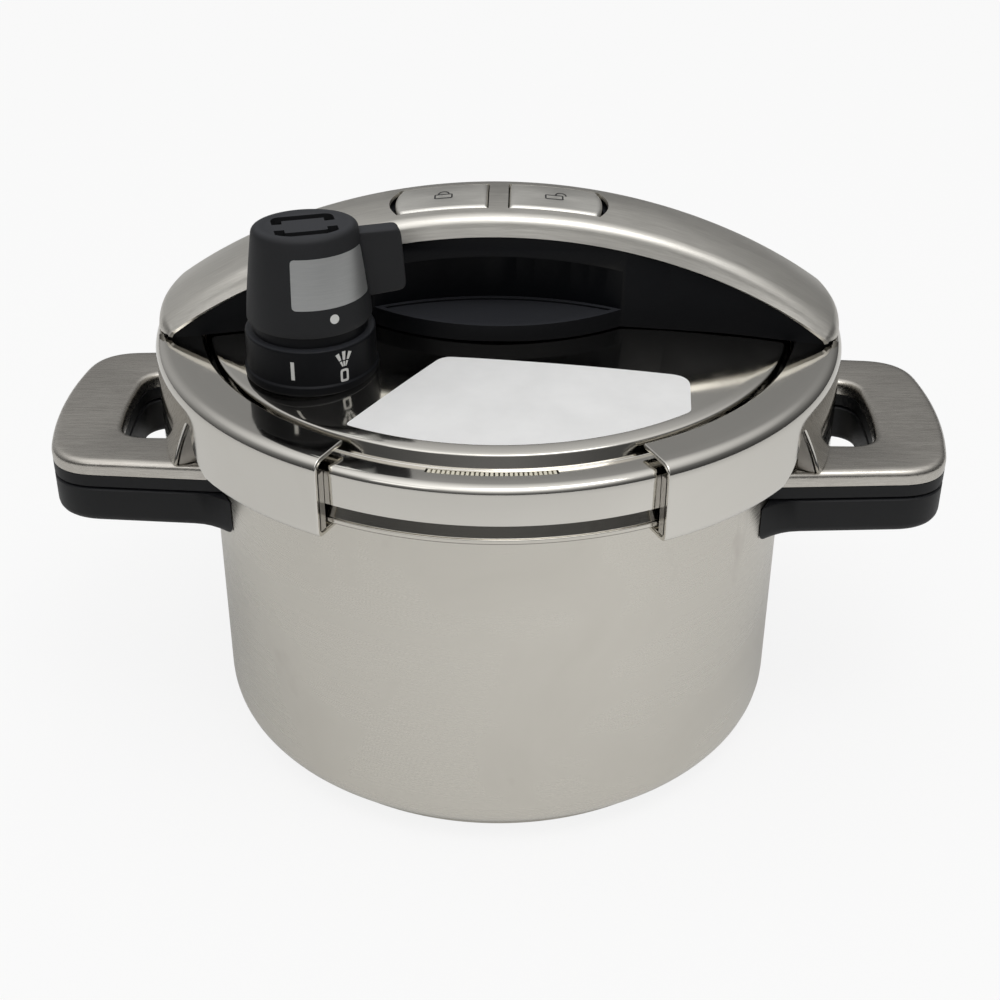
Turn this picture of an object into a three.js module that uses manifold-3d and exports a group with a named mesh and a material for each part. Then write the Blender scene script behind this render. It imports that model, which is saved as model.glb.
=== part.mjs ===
// A clamp-lid pressure cooker: a pot with two loop handles, a lid held down by two C-section jaws,
// and an arched bridge handle that hides the rack-and-pinion linkage of the jaws.
// Millimetres, +Z up. The origin is the centre of the pot's base, and the handles lie along X.

import * as THREE from 'three';
import { mergeVertices } from 'three/addons/utils/BufferGeometryUtils.js';
import Module from 'manifold-3d';

const wasm = await Module();
wasm.setup();

// ---------------------------------------------------------------- driving dimensions

const SEAT = 0.3;                    // clearance left where one piece rests on another
const RUNNING_GAP = 0.4;             // clearance round a piece that slides or turns

// pot
const POT_INNER_RADIUS = 100;
const POT_SHEET = 1.2;
const POT_RIM_TOP = 134.3;           // height of the flange that carries the seal
const POT_FLANGE_REACH = 9.2;        // from the outer wall to the turned-down edge
const POT_FLANGE_DROP = 6.4;         // height of the turned-down edge
const POT_BEAD = 1.0;                // how far the flange's rolled lower edge stands out
const POT_FOOT_SPREAD = 10;          // the wall's curve into the floor, across
const POT_FOOT_RISE = 9;             // and up
const BASE_DISC_INSET = 9.7;         // from the pot's outer wall to the disc's edge
const BASE_DISC_THICKNESS = 5;
const BASE_DISC_CHAMFER = 1.5;

// pot handles
const HANDLE_DROP = 20.2;            // top of the cap below the pot's rim
const HANDLE_LENGTH = 54.6;          // from the pot's wall to the outer end
const HANDLE_END_BOW = 5.8;          // the outer end bulges by this much
const HANDLE_ROOT_HALF_WIDTH = 44.5;
const HANDLE_TAPER = 3.5;            // narrower by this much each side at the outer end
const HANDLE_CORNER = 14;
const HANDLE_ROOT_BAR = 5.5;         // bar between the pot wall and the finger hole
const HANDLE_END_BAR = 24.1;         // bar outside the finger hole
const FINGER_HOLE_BOW = 2;           // the hole's outer edge bulges by this much
const HANDLE_ARM = 17.5;             // bar each side of the finger hole
const FINGER_HOLE_ROUNDING = 0.4;    // corner radius as a share of the hole's length
const CAP_HEIGHT = 5.2;              // steel cap
const CAP_SHEET = 1;
const CAP_EDGE = 2.2;                // rounded upper edge of the cap
const FRAME_HEIGHT = 4.2;            // thin black frame under the cap
const GRIP_GROOVE = 1.2;             // shadow line between frame and lower grip
const GRIP_GROOVE_DEPTH = 1.6;
const GRIP_HEIGHT = 13.5;            // lower grip
const GRIP_ROUNDING = 3.6;
const GRIP_FLARE = 4.5;              // the lower grip widens each side where it meets the wall
const BRACKET_SHEET = 1.6;
const BRACKET_HEIGHT = 9;
const BRACKET_PRONG_LENGTH = 24;
const BRACKET_PRONG_WIDTH = 9;
const GRIP_SCREW_RADIUS = 1.8;
const GRIP_SCREW_HEAD_RADIUS = 3.4;
const GRIP_SCREW_HEAD_HEIGHT = 2.2;

// lid
const LID_SHEET = 1.2;
const LID_RIM_RISE = 13.2;           // flat rim above the pot's rim
const LID_RIDGE_RISE = 3.5;          // edge of the crowned centre above the rim
const LID_CROWN_RISE = 4;            // crest of the crowned centre above its edge
const LID_RIDGE_INSET = 1.1;         // edge of the crowned centre inside the pot's inner radius
const LID_GROOVE_DEPTH = 1.1;
const LID_SKIRT_MARGIN = 1.4;        // skirt outside the pot's flange
const LID_SKIRT_GAP = 0.6;           // lower end of the skirt above the pot's rim
const LID_RIM_ROUNDING = 2.8;
const RELIEF_SLOT_LENGTH = 41;       // window in the rim that lets the seal bulge out
const RELIEF_SLOT_WIDTH = 2.2;
const RELIEF_SLOT_INSET = 4.2;       // outside the edge of the crowned centre
const GASKET_LIP = 2.2;
const GASKET_BACK = 2.8;
const GASKET_MARGIN = 0.4;           // between the seal's back and the lid's skirt

// clamp jaws
const JAW_SHEET = 1.6;
const JAW_MARGIN = 1.6;              // between the lid's skirt and the jaw
const JAW_TOP_GAP = 0.5;             // between the lid's rim and the jaw
const JAW_FLANGE_MARGIN = 1.8;       // between the lid's crowned centre and the jaw's upper flange
const JAW_LIP_MARGIN = 3.8;          // between the pot's wall and the jaw's lower lip
const JAW_HALF_ANGLE = 63;           // degrees either side of the X axis
const JAW_SHOULDER = 3.2;            // outer rounding of the fold
const JAW_TRAVEL = 10;
const TONGUE_HALF_ANGLE = 22;        // lower end of the tongue beside the pot handle
const NOTCH_ANGLE = 34;              // top of the slit between tongue and skirt
const NOTCH_DROP = 7.8;              // top of the slit below the jaw's top
const NOTCH_WIDTH = 2.4;
const SKIRT_CORNER = 12;             // rounding of the skirt's lower corner at the notch
const JAW_TAB_HALF_WIDTH = 22;       // raised wall that meets the end of the bridge
const JAW_TAB_RISE = 2.7;

// jaw linkage
const ARM_SHEET = 1.6;
const ARM_HALF_WIDTH = 8.6;
const GEAR_MODULE = 1;
const PINION_TEETH = 12;
const PRESSURE_ANGLE = 25;           // degrees
const TOOTH_ADDENDUM = 0.8;
const TOOTH_DEDENDUM = 1.15;
const TOOTH_BACKLASH = 0.16;
const RACK_BACK = 3.6;               // bar behind the teeth
const PINION_SHAFT_RADIUS = 1.5;
const PINION_SHAFT_REACH = 4;        // into the bridge body, above the spring's pocket
const SHAFT_COLLAR = 1.2;
const PLATE_SHEET = 1;
const PLATE_INSET = 14.9;            // end of the plate inside the edge of the crowned centre
const PLATE_HALF_WIDTH = 14.5;
const PLATE_CORNER = 5;
const GUIDE_SCREW_SHARE = 0.627;     // place of the guide screws as a share of the crown's radius
const GUIDE_SCREW_RADIUS = 2;
const GUIDE_SCREW_HEAD_RADIUS = 4.6;
const GUIDE_SCREW_HEAD_HEIGHT = 2.6;
const GUIDE_SCREW_REACH = 11;        // into the bridge body
const OPENING_SPRING_RADIUS = 3.8;
const OPENING_SPRING_WIRE = 0.45;    // wire radius
const OPENING_SPRING_TURNS = 2.5;

// bridge handle
const ARCH_RISE = 37.6;              // fold line at the middle above the lid's crest
const ARCH_FOOT = 1;                 // centre of the shoulders' rounding below the seam
const BRIDGE_INSET = 0.5;            // ends of the cover inside the jaws
const BRIDGE_SHOULDER = 6.4;         // rounding between the arch and its upright end
const COVER_SHEET = 1.2;
const COVER_CROWN = 1.3;
const COVER_FOLD_HALF_WIDTH = 17.4;
const COVER_DEPTH = 6;               // side walls below the fold
const COVER_FLARE = 1.5;             // the side walls lean out by this much
const COVER_END_SPREAD = 6;          // the bridge is this much wider each side at its ends
const COVER_END_RISE = 3;            // the side walls are this much shorter at its ends
const CORE_GAP = 0.4;                // between the cover and the black body
const NICHE_HALF_LENGTH = 41;        // finger niche in each side of the body
const NICHE_DEPTH = 9.6;
const NICHE_CEILING = 13.5;          // below the fold line
const LEDGE_RISE = 5.8;              // top of the ledge under each niche above the lid's crest
const LEDGE_REACH = 13.7;            // from the body's side to the ledge's edge
const LEDGE_DISH = 0.7;
const LEDGE_RIM = 1.6;

// lock and release buttons
const BUTTON_DIVIDER = 7.2;          // between the two buttons
const BUTTON_LENGTH = 29;
const BUTTON_HALF_DEPTH = 10.2;
const BUTTON_END_BOW = 1.6;          // the outer end bulges by this much
const BUTTON_SHEET = 1.3;
const BUTTON_PROUD = 0.3;
const BUTTON_TRAVEL = 3;
const BUTTON_GAP = 0.45;
const CRESCENT_GAP = 1.9;            // dark gap beyond the outer end
const PLUNGER_THICKNESS = 3;
const PLUNGER_MARGIN = 0.8;          // plunger platform inside the cap's edge
const PLUNGER_STEM_RADIUS = 2.2;
const PLUNGER_TIP_GAP = 1.9;         // above the linkage's space
const BUTTON_SPRING_RADIUS = 3.4;
const BUTTON_SPRING_WIRE = 0.4;
const BUTTON_SPRING_TURNS = 3;
const BUTTON_SPRING_POCKET = 8;

// pressure regulator
const REGULATOR_X_SHARE = -0.5956;   // places on the lid as shares of the crowned centre's radius
const REGULATOR_Y_SHARE = -0.4469;
const COLLAR_RADIUS = 20.7;
const COLLAR_RISE = 16.2;            // top of the collar above the edge of the crowned centre
const COLLAR_FLANGE_RADIUS = 22.2;
const COLLAR_FLANGE_HEIGHT = 2.2;
const COLLAR_NECK_RADIUS = 18.2;
const COLLAR_NECK_HEIGHT = 3.9;
const COLLAR_BORE = 9;
const KNOB_HEIGHT = 30;
const KNOB_BASE_RADIUS = 19.8;
const KNOB_TOP_HALF_LENGTH = 16.4;
const KNOB_TOP_HALF_WIDTH = 12;
const KNOB_WALL = 2.2;
const KNOB_ROUNDING = 1.8;
const WING_REACH = 31;               // from the knob's axis
const WING_THICKNESS = 6.5;
const WING_DEPTH = 21;
const WING_SLANT = 3;                // lower edge higher by this much at its outer end
const WING_CORNER = 2.4;
const VENT_WIDTH = 2.2;
const VENT_LENGTH = 15;
const VENT_SPACING = 9.4;
const VENT_HOOK = 3.4;               // turned-in ends of the vents
const KNOB_TURN = 15;                // degrees, how far the wing points to the back when steam is let out
const SPIGOT_RADIUS = 13;
const SPIGOT_HEIGHT = 4;
const SPIGOT_WALL = 2;
const STEM_RADIUS = 3.6;
const STEM_BORE = 1.3;
const STEM_RISE = 9.9;               // valve seat above the knob's lower edge
const STEM_FLANGE_RADIUS = 7.4;
const STEM_FLANGE_HEIGHT = 2.4;
const STEM_TAIL = 12;                // threaded tail below the lid
const NUT_RADIUS = 8;
const NUT_HEIGHT = 4;
const POPPET_RADIUS = 5.4;
const POPPET_HEIGHT = 7;
const VALVE_SPRING_RADIUS = 3.2;
const VALVE_SPRING_WIRE = 0.4;
const VALVE_SPRING_TURNS = 2.5;
const FILTER_RADIUS = 8.6;
const FILTER_SLOT_HEIGHT = 3.2;
const FILTER_SLOT_WIDTH = 1.6;
const FILTER_SHEET = 1;

// pressure indicator and relief valve, behind the bridge
const PLUG_X_SHARE = 0.526;
const PLUG_Y_SHARE = 0.465;
const INDICATOR_RADIUS = 2.4;
const INDICATOR_FLANGE = 1.8;
const INDICATOR_TRAVEL = 5;
const INDICATOR_PROUD = 0.8;
const GROMMET_RADIUS = 6.2;
const GROMMET_WAIST = 4.6;
const GROMMET_LIP = 1.6;
const RELIEF_RADIUS = 6;
const RELIEF_HEIGHT = 3.5;

// ---------------------------------------------------------------- derived places

const DEG = Math.PI / 180;
const POT_OUTER_RADIUS = POT_INNER_RADIUS + POT_SHEET;
const POT_BOTTOM = BASE_DISC_THICKNESS + SEAT;
const POT_FLANGE_RADIUS = POT_OUTER_RADIUS + POT_FLANGE_REACH;
const POT_FLANGE_BOTTOM = POT_RIM_TOP - POT_FLANGE_DROP;

const LID_RIM_TOP = POT_RIM_TOP + LID_RIM_RISE;
const LID_RIDGE_TOP = LID_RIM_TOP + LID_RIDGE_RISE;
const LID_CREST = LID_RIDGE_TOP + LID_CROWN_RISE;
const LID_RIDGE_RADIUS = POT_INNER_RADIUS - LID_RIDGE_INSET;
const LID_SKIRT_RADIUS = POT_FLANGE_RADIUS + LID_SKIRT_MARGIN;
const LID_SKIRT_BOTTOM = POT_RIM_TOP + LID_SKIRT_GAP;
const LID_UNDERSIDE_RIM = LID_RIM_TOP - LID_SHEET;
const SKIRT_INNER_RADIUS = LID_SKIRT_RADIUS - LID_SHEET;

const JAW_INNER_RADIUS = LID_SKIRT_RADIUS + JAW_MARGIN;
const JAW_OUTER_RADIUS = JAW_INNER_RADIUS + JAW_SHEET;
const JAW_TOP = LID_RIM_TOP + JAW_TOP_GAP + JAW_SHEET;
const JAW_BOTTOM = POT_FLANGE_BOTTOM - SEAT - JAW_SHEET;
const JAW_TAB_TOP = JAW_TOP + JAW_TAB_RISE;
const JAW_FLANGE_INNER_RADIUS = LID_RIDGE_RADIUS + JAW_FLANGE_MARGIN;
const JAW_LIP_INNER_RADIUS = POT_OUTER_RADIUS + JAW_LIP_MARGIN;
const NOTCH_TOP = JAW_TOP - NOTCH_DROP;

const HANDLE_TOP = POT_RIM_TOP - HANDLE_DROP;
const HANDLE_REACH = POT_OUTER_RADIUS + HANDLE_LENGTH;
const HANDLE_END_HALF_WIDTH = HANDLE_ROOT_HALF_WIDTH - HANDLE_TAPER;
const FINGER_HOLE_HALF_WIDTH = HANDLE_END_HALF_WIDTH - HANDLE_ARM;
const FINGER_HOLE_INNER = POT_OUTER_RADIUS + SEAT + HANDLE_ROOT_BAR;
const FINGER_HOLE_OUTER = HANDLE_REACH - HANDLE_END_BAR;
const FINGER_HOLE_CORNER = FINGER_HOLE_ROUNDING * (FINGER_HOLE_OUTER - FINGER_HOLE_INNER - FINGER_HOLE_BOW);
const TONGUE_BOTTOM = HANDLE_TOP + SEAT;
const CAP_BOTTOM = HANDLE_TOP - CAP_HEIGHT;
const FRAME_TOP = CAP_BOTTOM - SEAT;
const FRAME_BOTTOM = FRAME_TOP - FRAME_HEIGHT;
const GRIP_TOP = FRAME_BOTTOM - GRIP_GROOVE;
const GRIP_BOTTOM = GRIP_TOP - GRIP_HEIGHT;

const PLATE_BOTTOM = LID_CREST + SEAT;
const PLATE_TOP = PLATE_BOTTOM + PLATE_SHEET;
const PLATE_HALF_LENGTH = LID_RIDGE_RADIUS - PLATE_INSET;
const ARM_BOTTOM = PLATE_TOP + SEAT;
const ARM_TOP = ARM_BOTTOM + ARM_SHEET;
const ARM_FOOT_BOTTOM = JAW_TOP + SEAT;
const ARM_FOOT_TOP = ARM_FOOT_BOTTOM + ARM_SHEET;
const GUIDE_SCREW_X = GUIDE_SCREW_SHARE * LID_RIDGE_RADIUS;
const PITCH_RADIUS = GEAR_MODULE * PINION_TEETH / 2;
const TOOTH_PITCH = Math.PI * GEAR_MODULE;
const CAVITY_TOP = ARM_TOP + RUNNING_GAP;

const ARCH_TOP = LID_CREST + ARCH_RISE;
const BRIDGE_END = JAW_OUTER_RADIUS - BRIDGE_INSET;
const BRIDGE_SEAM = JAW_TAB_TOP + RUNNING_GAP;
const COVER_LOWER_HALF_WIDTH = COVER_FOLD_HALF_WIDTH + COVER_FLARE;
const BODY_HALF_WIDTH = COVER_LOWER_HALF_WIDTH - COVER_SHEET - CORE_GAP;
const BODY_END = BRIDGE_END - COVER_SHEET - CORE_GAP;
const LEDGE_TOP = LID_CREST + LEDGE_RISE;

const BUTTON_INNER_X = BUTTON_DIVIDER / 2;
const BUTTON_OUTER_X = BUTTON_INNER_X + BUTTON_LENGTH;

const REGULATOR_X = REGULATOR_X_SHARE * LID_RIDGE_RADIUS;
const REGULATOR_Y = REGULATOR_Y_SHARE * LID_RIDGE_RADIUS;
const COLLAR_TOP = LID_RIDGE_TOP + COLLAR_RISE;
const KNOB_BOTTOM = COLLAR_TOP + COLLAR_NECK_HEIGHT;
const KNOB_TOP = KNOB_BOTTOM + KNOB_HEIGHT;
const STEM_TOP = KNOB_BOTTOM + STEM_RISE;
const PLUG_X = PLUG_X_SHARE * LID_RIDGE_RADIUS;
const PLUG_Y = PLUG_Y_SHARE * LID_RIDGE_RADIUS;

// ---------------------------------------------------------------- materials

function finish(color, roughness, metalness) {
  return new THREE.MeshStandardMaterial({ color, roughness, metalness });
}
const satinSteel = finish(0xb9b4a8, 0.34, 1);
const polishedSteel = finish(0xd2cfc6, 0.08, 1);
const brushedSteel = finish(0xaba69c, 0.3, 1);
const plainSteel = finish(0xa8a8a6, 0.35, 1);
const blackPlastic = finish(0x141517, 0.5, 0);
const greyPlastic = finish(0x26292c, 0.6, 0);
const silicone = finish(0xd8d6cf, 0.7, 0);
const brass = finish(0xb8964f, 0.35, 1);
const redPlastic = finish(0xa8231c, 0.5, 0);

// ---------------------------------------------------------------- shapes

// A surface through equal closed outlines: rings[i][j] is point j of outline i, and both ends
// are closed with the triangles of the first and the last flat outline.
function loft(rings, firstFlat, lastFlat = firstFlat) {
  const count = rings[0].length;
  const positions = rings.flat().flatMap((p) => [p.x, p.y, p.z]);
  const index = [];
  for (let i = 0; i + 1 < rings.length; i++) {
    for (let j = 0; j < count; j++) {
      const a = i * count + j;
      const b = i * count + (j + 1) % count;
      index.push(a, b, b + count, a, b + count, a + count);
    }
  }
  const last = (rings.length - 1) * count;
  const lidTriangles = (flat) => THREE.ShapeUtils.triangulateShape(flat, []);
  const sign = THREE.ShapeUtils.isClockWise(firstFlat) ? -1 : 1;
  for (const [a, b, c] of lidTriangles(firstFlat)) {
    index.push(...(sign > 0 ? [a, c, b] : [a, b, c]));
  }
  for (const [a, b, c] of lidTriangles(lastFlat)) {
    index.push(...(sign > 0 ? [a, b, c] : [a, c, b]).map((k) => k + last));
  }
  const geometry = new THREE.BufferGeometry();
  geometry.setAttribute('position', new THREE.Float32BufferAttribute(positions, 3));
  geometry.setIndex(sign > 0 ? index : index.reverse());
  return geometry;
}

// Six times the signed volume tells whether the faces point out.
function pointsOutward(position, index) {
  const [a, b, c] = [0, 1, 2].map(() => new THREE.Vector3());
  let sum = 0;
  for (let i = 0; i < index.length; i += 3) {
    [a, b, c].forEach((p, k) => p.fromArray(position, 3 * index[i + k]));
    sum += a.dot(b.cross(c));
  }
  return sum > 0;
}

// A closed geometry as a solid that can be joined and cut.
function solid(geometry) {
  const bare = geometry.clone();
  bare.deleteAttribute('normal');
  bare.deleteAttribute('uv');
  const merged = mergeVertices(bare, 1e-4);
  const vertProperties = new Float32Array(merged.attributes.position.array);
  const index = [];
  for (let i = 0; i < merged.index.count; i += 3) {
    const [a, b, c] = [0, 1, 2].map((k) => merged.index.getX(i + k));
    if (a !== b && b !== c && c !== a) index.push(a, b, c);
  }
  if (!pointsOutward(vertProperties, index)) index.reverse();
  return new wasm.Manifold(new wasm.Mesh({ numProp: 3, vertProperties, triVerts: new Uint32Array(index) }));
}

function join(first, ...others) {
  return others.reduce((sum, piece) => sum.add(piece), first);
}

function cut(from, ...tools) {
  return tools.reduce((rest, tool) => rest.subtract(tool), from);
}

function geometryOf(manifold) {
  const { vertProperties, triVerts } = manifold.getMesh();
  const geometry = new THREE.BufferGeometry();
  geometry.setAttribute('position', new THREE.BufferAttribute(new Float32Array(vertProperties), 3));
  geometry.setIndex(new THREE.BufferAttribute(new Uint32Array(triVerts), 1));
  geometry.computeVertexNormals();
  return geometry;
}

const vec2 = ([x, y]) => new THREE.Vector2(x, y);

// A profile of [radius, height] pairs turned about Z. A profile off the axis closes on itself.
function turned(profile, segments = 48) {
  const points = profile.map(vec2);
  const first = points[0];
  const last = points[points.length - 1];
  if (first.x > 0 || last.x > 0) points.push(first.clone());
  return solid(new THREE.LatheGeometry(points, segments).rotateX(Math.PI / 2));
}

function disc(radius, bottom, top, segments = 24) {
  return turned([[0, bottom], [radius, bottom], [radius, top], [0, top]], segments);
}

// An outline in plan, raised from bottom to top, with optional holes and equal bevels at both ends.
function raised(outline, bottom, top, { holes = [], bevel = 0, steps = 2 } = {}) {
  const shape = new THREE.Shape(outline);
  shape.holes = holes.map((hole) => new THREE.Path(hole));
  const geometry = new THREE.ExtrudeGeometry(shape, {
    depth: top - bottom - 2 * bevel,
    bevelEnabled: bevel > 0, bevelThickness: bevel, bevelSize: bevel, bevelOffset: -bevel,
    bevelSegments: steps,
  });
  return solid(geometry.translate(0, 0, bottom + bevel));
}

// An outline of [x, z] points seen from the front, as thick as from y = back to y = front.
function upright(outline, back, front) {
  const geometry = new THREE.ExtrudeGeometry(new THREE.Shape(outline.map(vec2)), {
    depth: back - front, bevelEnabled: false,
  });
  return solid(geometry.rotateX(Math.PI / 2).translate(0, back, 0));
}

function block([x0, x1], [y0, y1], [z0, z1]) {
  const geometry = new THREE.BoxGeometry(x1 - x0, y1 - y0, z1 - z0);
  return solid(geometry.translate((x0 + x1) / 2, (y0 + y1) / 2, (z0 + z1) / 2));
}

// A polygon whose corners are rounded: corners are [x, y, radius].
function rounded(corners, steps = 4) {
  const outline = [];
  corners.forEach(([x, y, radius], i) => {
    const corner = new THREE.Vector2(x, y);
    if (!radius) {
      outline.push(corner);
      return;
    }
    const before = vec2(corners.at(i - 1)).sub(corner).normalize();
    const after = vec2(corners[(i + 1) % corners.length]).sub(corner).normalize();
    const half = Math.acos(THREE.MathUtils.clamp(before.dot(after), -1, 1)) / 2;
    const centre = before.clone().add(after).normalize().multiplyScalar(radius / Math.sin(half)).add(corner);
    const start = before.multiplyScalar(radius / Math.tan(half)).add(corner).sub(centre);
    const end = after.multiplyScalar(radius / Math.tan(half)).add(corner).sub(centre);
    const turn = Math.atan2(start.cross(end), start.dot(end));
    for (let k = 0; k <= steps; k++) {
      outline.push(start.clone().rotateAround(new THREE.Vector2(), turn * k / steps).add(centre));
    }
  });
  return outline;
}

// A section of [radius, height] pairs carried round part of a circle about Z, angles in degrees.
function arcBar(section, from, to, steps) {
  const rings = [];
  for (let i = 0; i <= steps; i++) {
    const angle = (from + (to - from) * i / steps) * DEG;
    rings.push(section.map(([r, z]) => new THREE.Vector3(r * Math.cos(angle), r * Math.sin(angle), z)));
  }
  return solid(loft(rings, section.map(vec2)));
}

class Helix extends THREE.Curve {
  constructor(radius, bottom, top, turns) {
    super();
    Object.assign(this, { radius, bottom, top, turns });
  }
  getPoint(t, target = new THREE.Vector3()) {
    const angle = 2 * Math.PI * this.turns * t;
    const height = this.bottom + (this.top - this.bottom) * t;
    return target.set(this.radius * Math.cos(angle), this.radius * Math.sin(angle), height);
  }
}

// A coil spring whose wire lies between bottom and top.
function coil(radius, wire, bottom, top, turns) {
  const path = new Helix(radius, bottom + wire, top - wire, turns);
  const round = new THREE.Shape();
  for (let k = 0; k < 5; k++) {
    const angle = 2 * Math.PI * k / 5;
    round[k ? 'lineTo' : 'moveTo'](wire * Math.cos(angle), wire * Math.sin(angle));
  }
  round.closePath();
  return solid(new THREE.ExtrudeGeometry(round, { steps: Math.round(turns * 8), extrudePath: path }));
}

const part = new THREE.Group();
function place(name, manifold, material, { x = 0, y = 0, turn = 0, parent = part } = {}) {
  const mesh = new THREE.Mesh(geometryOf(manifold), material);
  mesh.name = name;
  mesh.position.set(x, y, 0);
  mesh.rotation.z = turn;
  parent.add(mesh);
}

// A quarter ellipse from (0, 0) to (across, up), flat at its start.
function quarter(across, up, steps) {
  return Array.from({ length: steps + 1 }, (_, k) => {
    const t = Math.PI / 2 * k / steps;
    return [across * Math.sin(t), up * (1 - Math.cos(t))];
  });
}

// ---------------------------------------------------------------- pot

function potBody() {
  const foot = quarter(POT_FOOT_SPREAD, POT_FOOT_RISE, 4)
    .map(([r, z]) => [POT_OUTER_RADIUS - POT_FOOT_SPREAD + r, POT_BOTTOM + z]);
  const floorCurve = quarter(POT_FOOT_SPREAD - POT_SHEET, POT_FOOT_RISE - POT_SHEET, 3)
    .map(([r, z]) => [POT_INNER_RADIUS - POT_FOOT_SPREAD + POT_SHEET + r, POT_BOTTOM + POT_SHEET + z]);
  const underside = POT_RIM_TOP - POT_SHEET;
  const edgeInside = POT_FLANGE_RADIUS - POT_SHEET;
  const throat = 3;
  return turned([
    [0, POT_BOTTOM], ...foot,
    [POT_OUTER_RADIUS, underside - throat], [POT_OUTER_RADIUS + throat, underside],
    [edgeInside, underside], [edgeInside, POT_FLANGE_BOTTOM],
    [POT_FLANGE_RADIUS + POT_BEAD, POT_FLANGE_BOTTOM + POT_BEAD * 0.3],
    [POT_FLANGE_RADIUS, POT_FLANGE_BOTTOM + POT_BEAD * 1.6],
    [POT_FLANGE_RADIUS, POT_RIM_TOP - POT_SHEET], [POT_FLANGE_RADIUS - POT_SHEET, POT_RIM_TOP],
    [POT_INNER_RADIUS + throat, POT_RIM_TOP], [POT_INNER_RADIUS, POT_RIM_TOP - throat],
    ...floorCurve.reverse(), [0, POT_BOTTOM + POT_SHEET],
  ]);
}

function baseDisc() {
  const radius = POT_OUTER_RADIUS - BASE_DISC_INSET;
  return turned([
    [0, 0], [radius - BASE_DISC_CHAMFER, 0], [radius, BASE_DISC_CHAMFER],
    [radius, BASE_DISC_THICKNESS], [0, BASE_DISC_THICKNESS],
  ]);
}

// ---------------------------------------------------------------- pot handles

// The outer end of the handle or of its finger hole, bulging between two rounded corners.
function bowedEnd(reach, half, bow, corner, steps) {
  return Array.from({ length: 2 * steps + 1 }, (_, k) => {
    const across = (k - steps) / steps;
    return [reach - bow * across ** 2, half * across, Math.abs(across) === 1 ? corner : 0];
  });
}

function handleOutline(inset, flare) {
  const root = Math.sqrt(POT_OUTER_RADIUS ** 2 - (HANDLE_ROOT_HALF_WIDTH + flare) ** 2) - 1;
  const rootHalf = HANDLE_ROOT_HALF_WIDTH - inset;
  const [flareEnd, flareHalf] = [root + 3 * flare, rootHalf - 0.2 * flare];
  const flared = (side) => (flare ? [[flareEnd, side * flareHalf, flare]] : []);
  return rounded([
    [root, -rootHalf - flare, 0], ...flared(-1),
    ...bowedEnd(HANDLE_REACH - inset, HANDLE_END_HALF_WIDTH - inset, HANDLE_END_BOW,
      HANDLE_CORNER - inset, 2),
    ...flared(1), [root, rootHalf + flare, 0],
  ], 3);
}

function fingerHole(inset) {
  const half = FINGER_HOLE_HALF_WIDTH + inset;
  const corner = FINGER_HOLE_CORNER + inset;
  const inner = FINGER_HOLE_INNER - inset;
  return rounded([
    [inner, -half, corner], ...bowedEnd(FINGER_HOLE_OUTER + inset, half, FINGER_HOLE_BOW, corner, 1),
    [inner, half, corner],
  ], 2);
}

// A loop of the handle between two heights. The rounding of its other end is trimmed away.
function handleLoop(bottom, top, { inset = 0, flare = 0, bevel = 0, flatTop = false, flatBottom = false }) {
  const low = bottom - (flatBottom ? 2 * bevel : 0);
  const high = top + (flatTop ? 2 * bevel : 0);
  const loop = raised(handleOutline(inset, flare), low, high, { holes: [fingerHole(inset)], bevel });
  const clear = HANDLE_REACH * 2;
  const trims = [disc(POT_OUTER_RADIUS + SEAT, low - 1, high + 1, 60)];
  if (flatBottom) trims.push(block([-clear, clear], [-clear, clear], [low - 1, bottom]));
  if (flatTop) trims.push(block([-clear, clear], [-clear, clear], [top, high + 1]));
  return cut(loop, ...trims);
}

const BRACKET_TOP = GRIP_TOP - 2;
const PRONG_Y = (FINGER_HOLE_HALF_WIDTH + HANDLE_ROOT_HALF_WIDTH) / 2 - 1;
const BRACKET_HALF_WIDTH = PRONG_Y + BRACKET_PRONG_WIDTH / 2 + 0.5;
const PRONG_END = POT_OUTER_RADIUS + BRACKET_PRONG_LENGTH;
const GRIP_SCREWS = [-PRONG_Y, PRONG_Y].map((y) => ({ x: PRONG_END - BRACKET_PRONG_WIDTH / 2, y }));

// The bracket's curved plate lies on the pot's wall, and a prong reaches into each arm of the loop.
function handleBracket(grow = 0) {
  const inner = POT_OUTER_RADIUS + SEAT - grow;
  const halfAngle = Math.asin((BRACKET_HALF_WIDTH + grow) / POT_OUTER_RADIUS) / DEG;
  const outer = POT_OUTER_RADIUS + SEAT + BRACKET_SHEET + grow;
  const low = BRACKET_TOP - BRACKET_HEIGHT - grow;
  const section = [[inner, low], [outer, low], [outer, BRACKET_TOP + grow], [inner, BRACKET_TOP + grow]];
  const plate = arcBar(section, -halfAngle, halfAngle, 8);
  const prongs = GRIP_SCREWS.map(({ y }) => block(
    [POT_OUTER_RADIUS - 4, PRONG_END + grow],
    [y - BRACKET_PRONG_WIDTH / 2 - grow, y + BRACKET_PRONG_WIDTH / 2 + grow],
    [BRACKET_TOP - BRACKET_SHEET * 2 - grow, BRACKET_TOP + grow],
  ));
  return cut(join(plate, ...prongs), disc(inner, low - 1, BRACKET_TOP + grow + 1, 60));
}

function screwBores(radius, bottom, top) {
  return GRIP_SCREWS.map(({ x, y }) => disc(radius, bottom, top, 10).translate([x, y, 0]));
}

function drilledBracket() {
  return cut(handleBracket(), ...screwBores(GRIP_SCREW_RADIUS + SEAT, GRIP_BOTTOM, BRACKET_TOP + 1));
}

const SCREW_HEAD_SEAT = GRIP_BOTTOM + GRIP_SCREW_HEAD_HEIGHT + 1.5;
const SCREW_TIP = FRAME_BOTTOM + FRAME_HEIGHT / 2;

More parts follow.
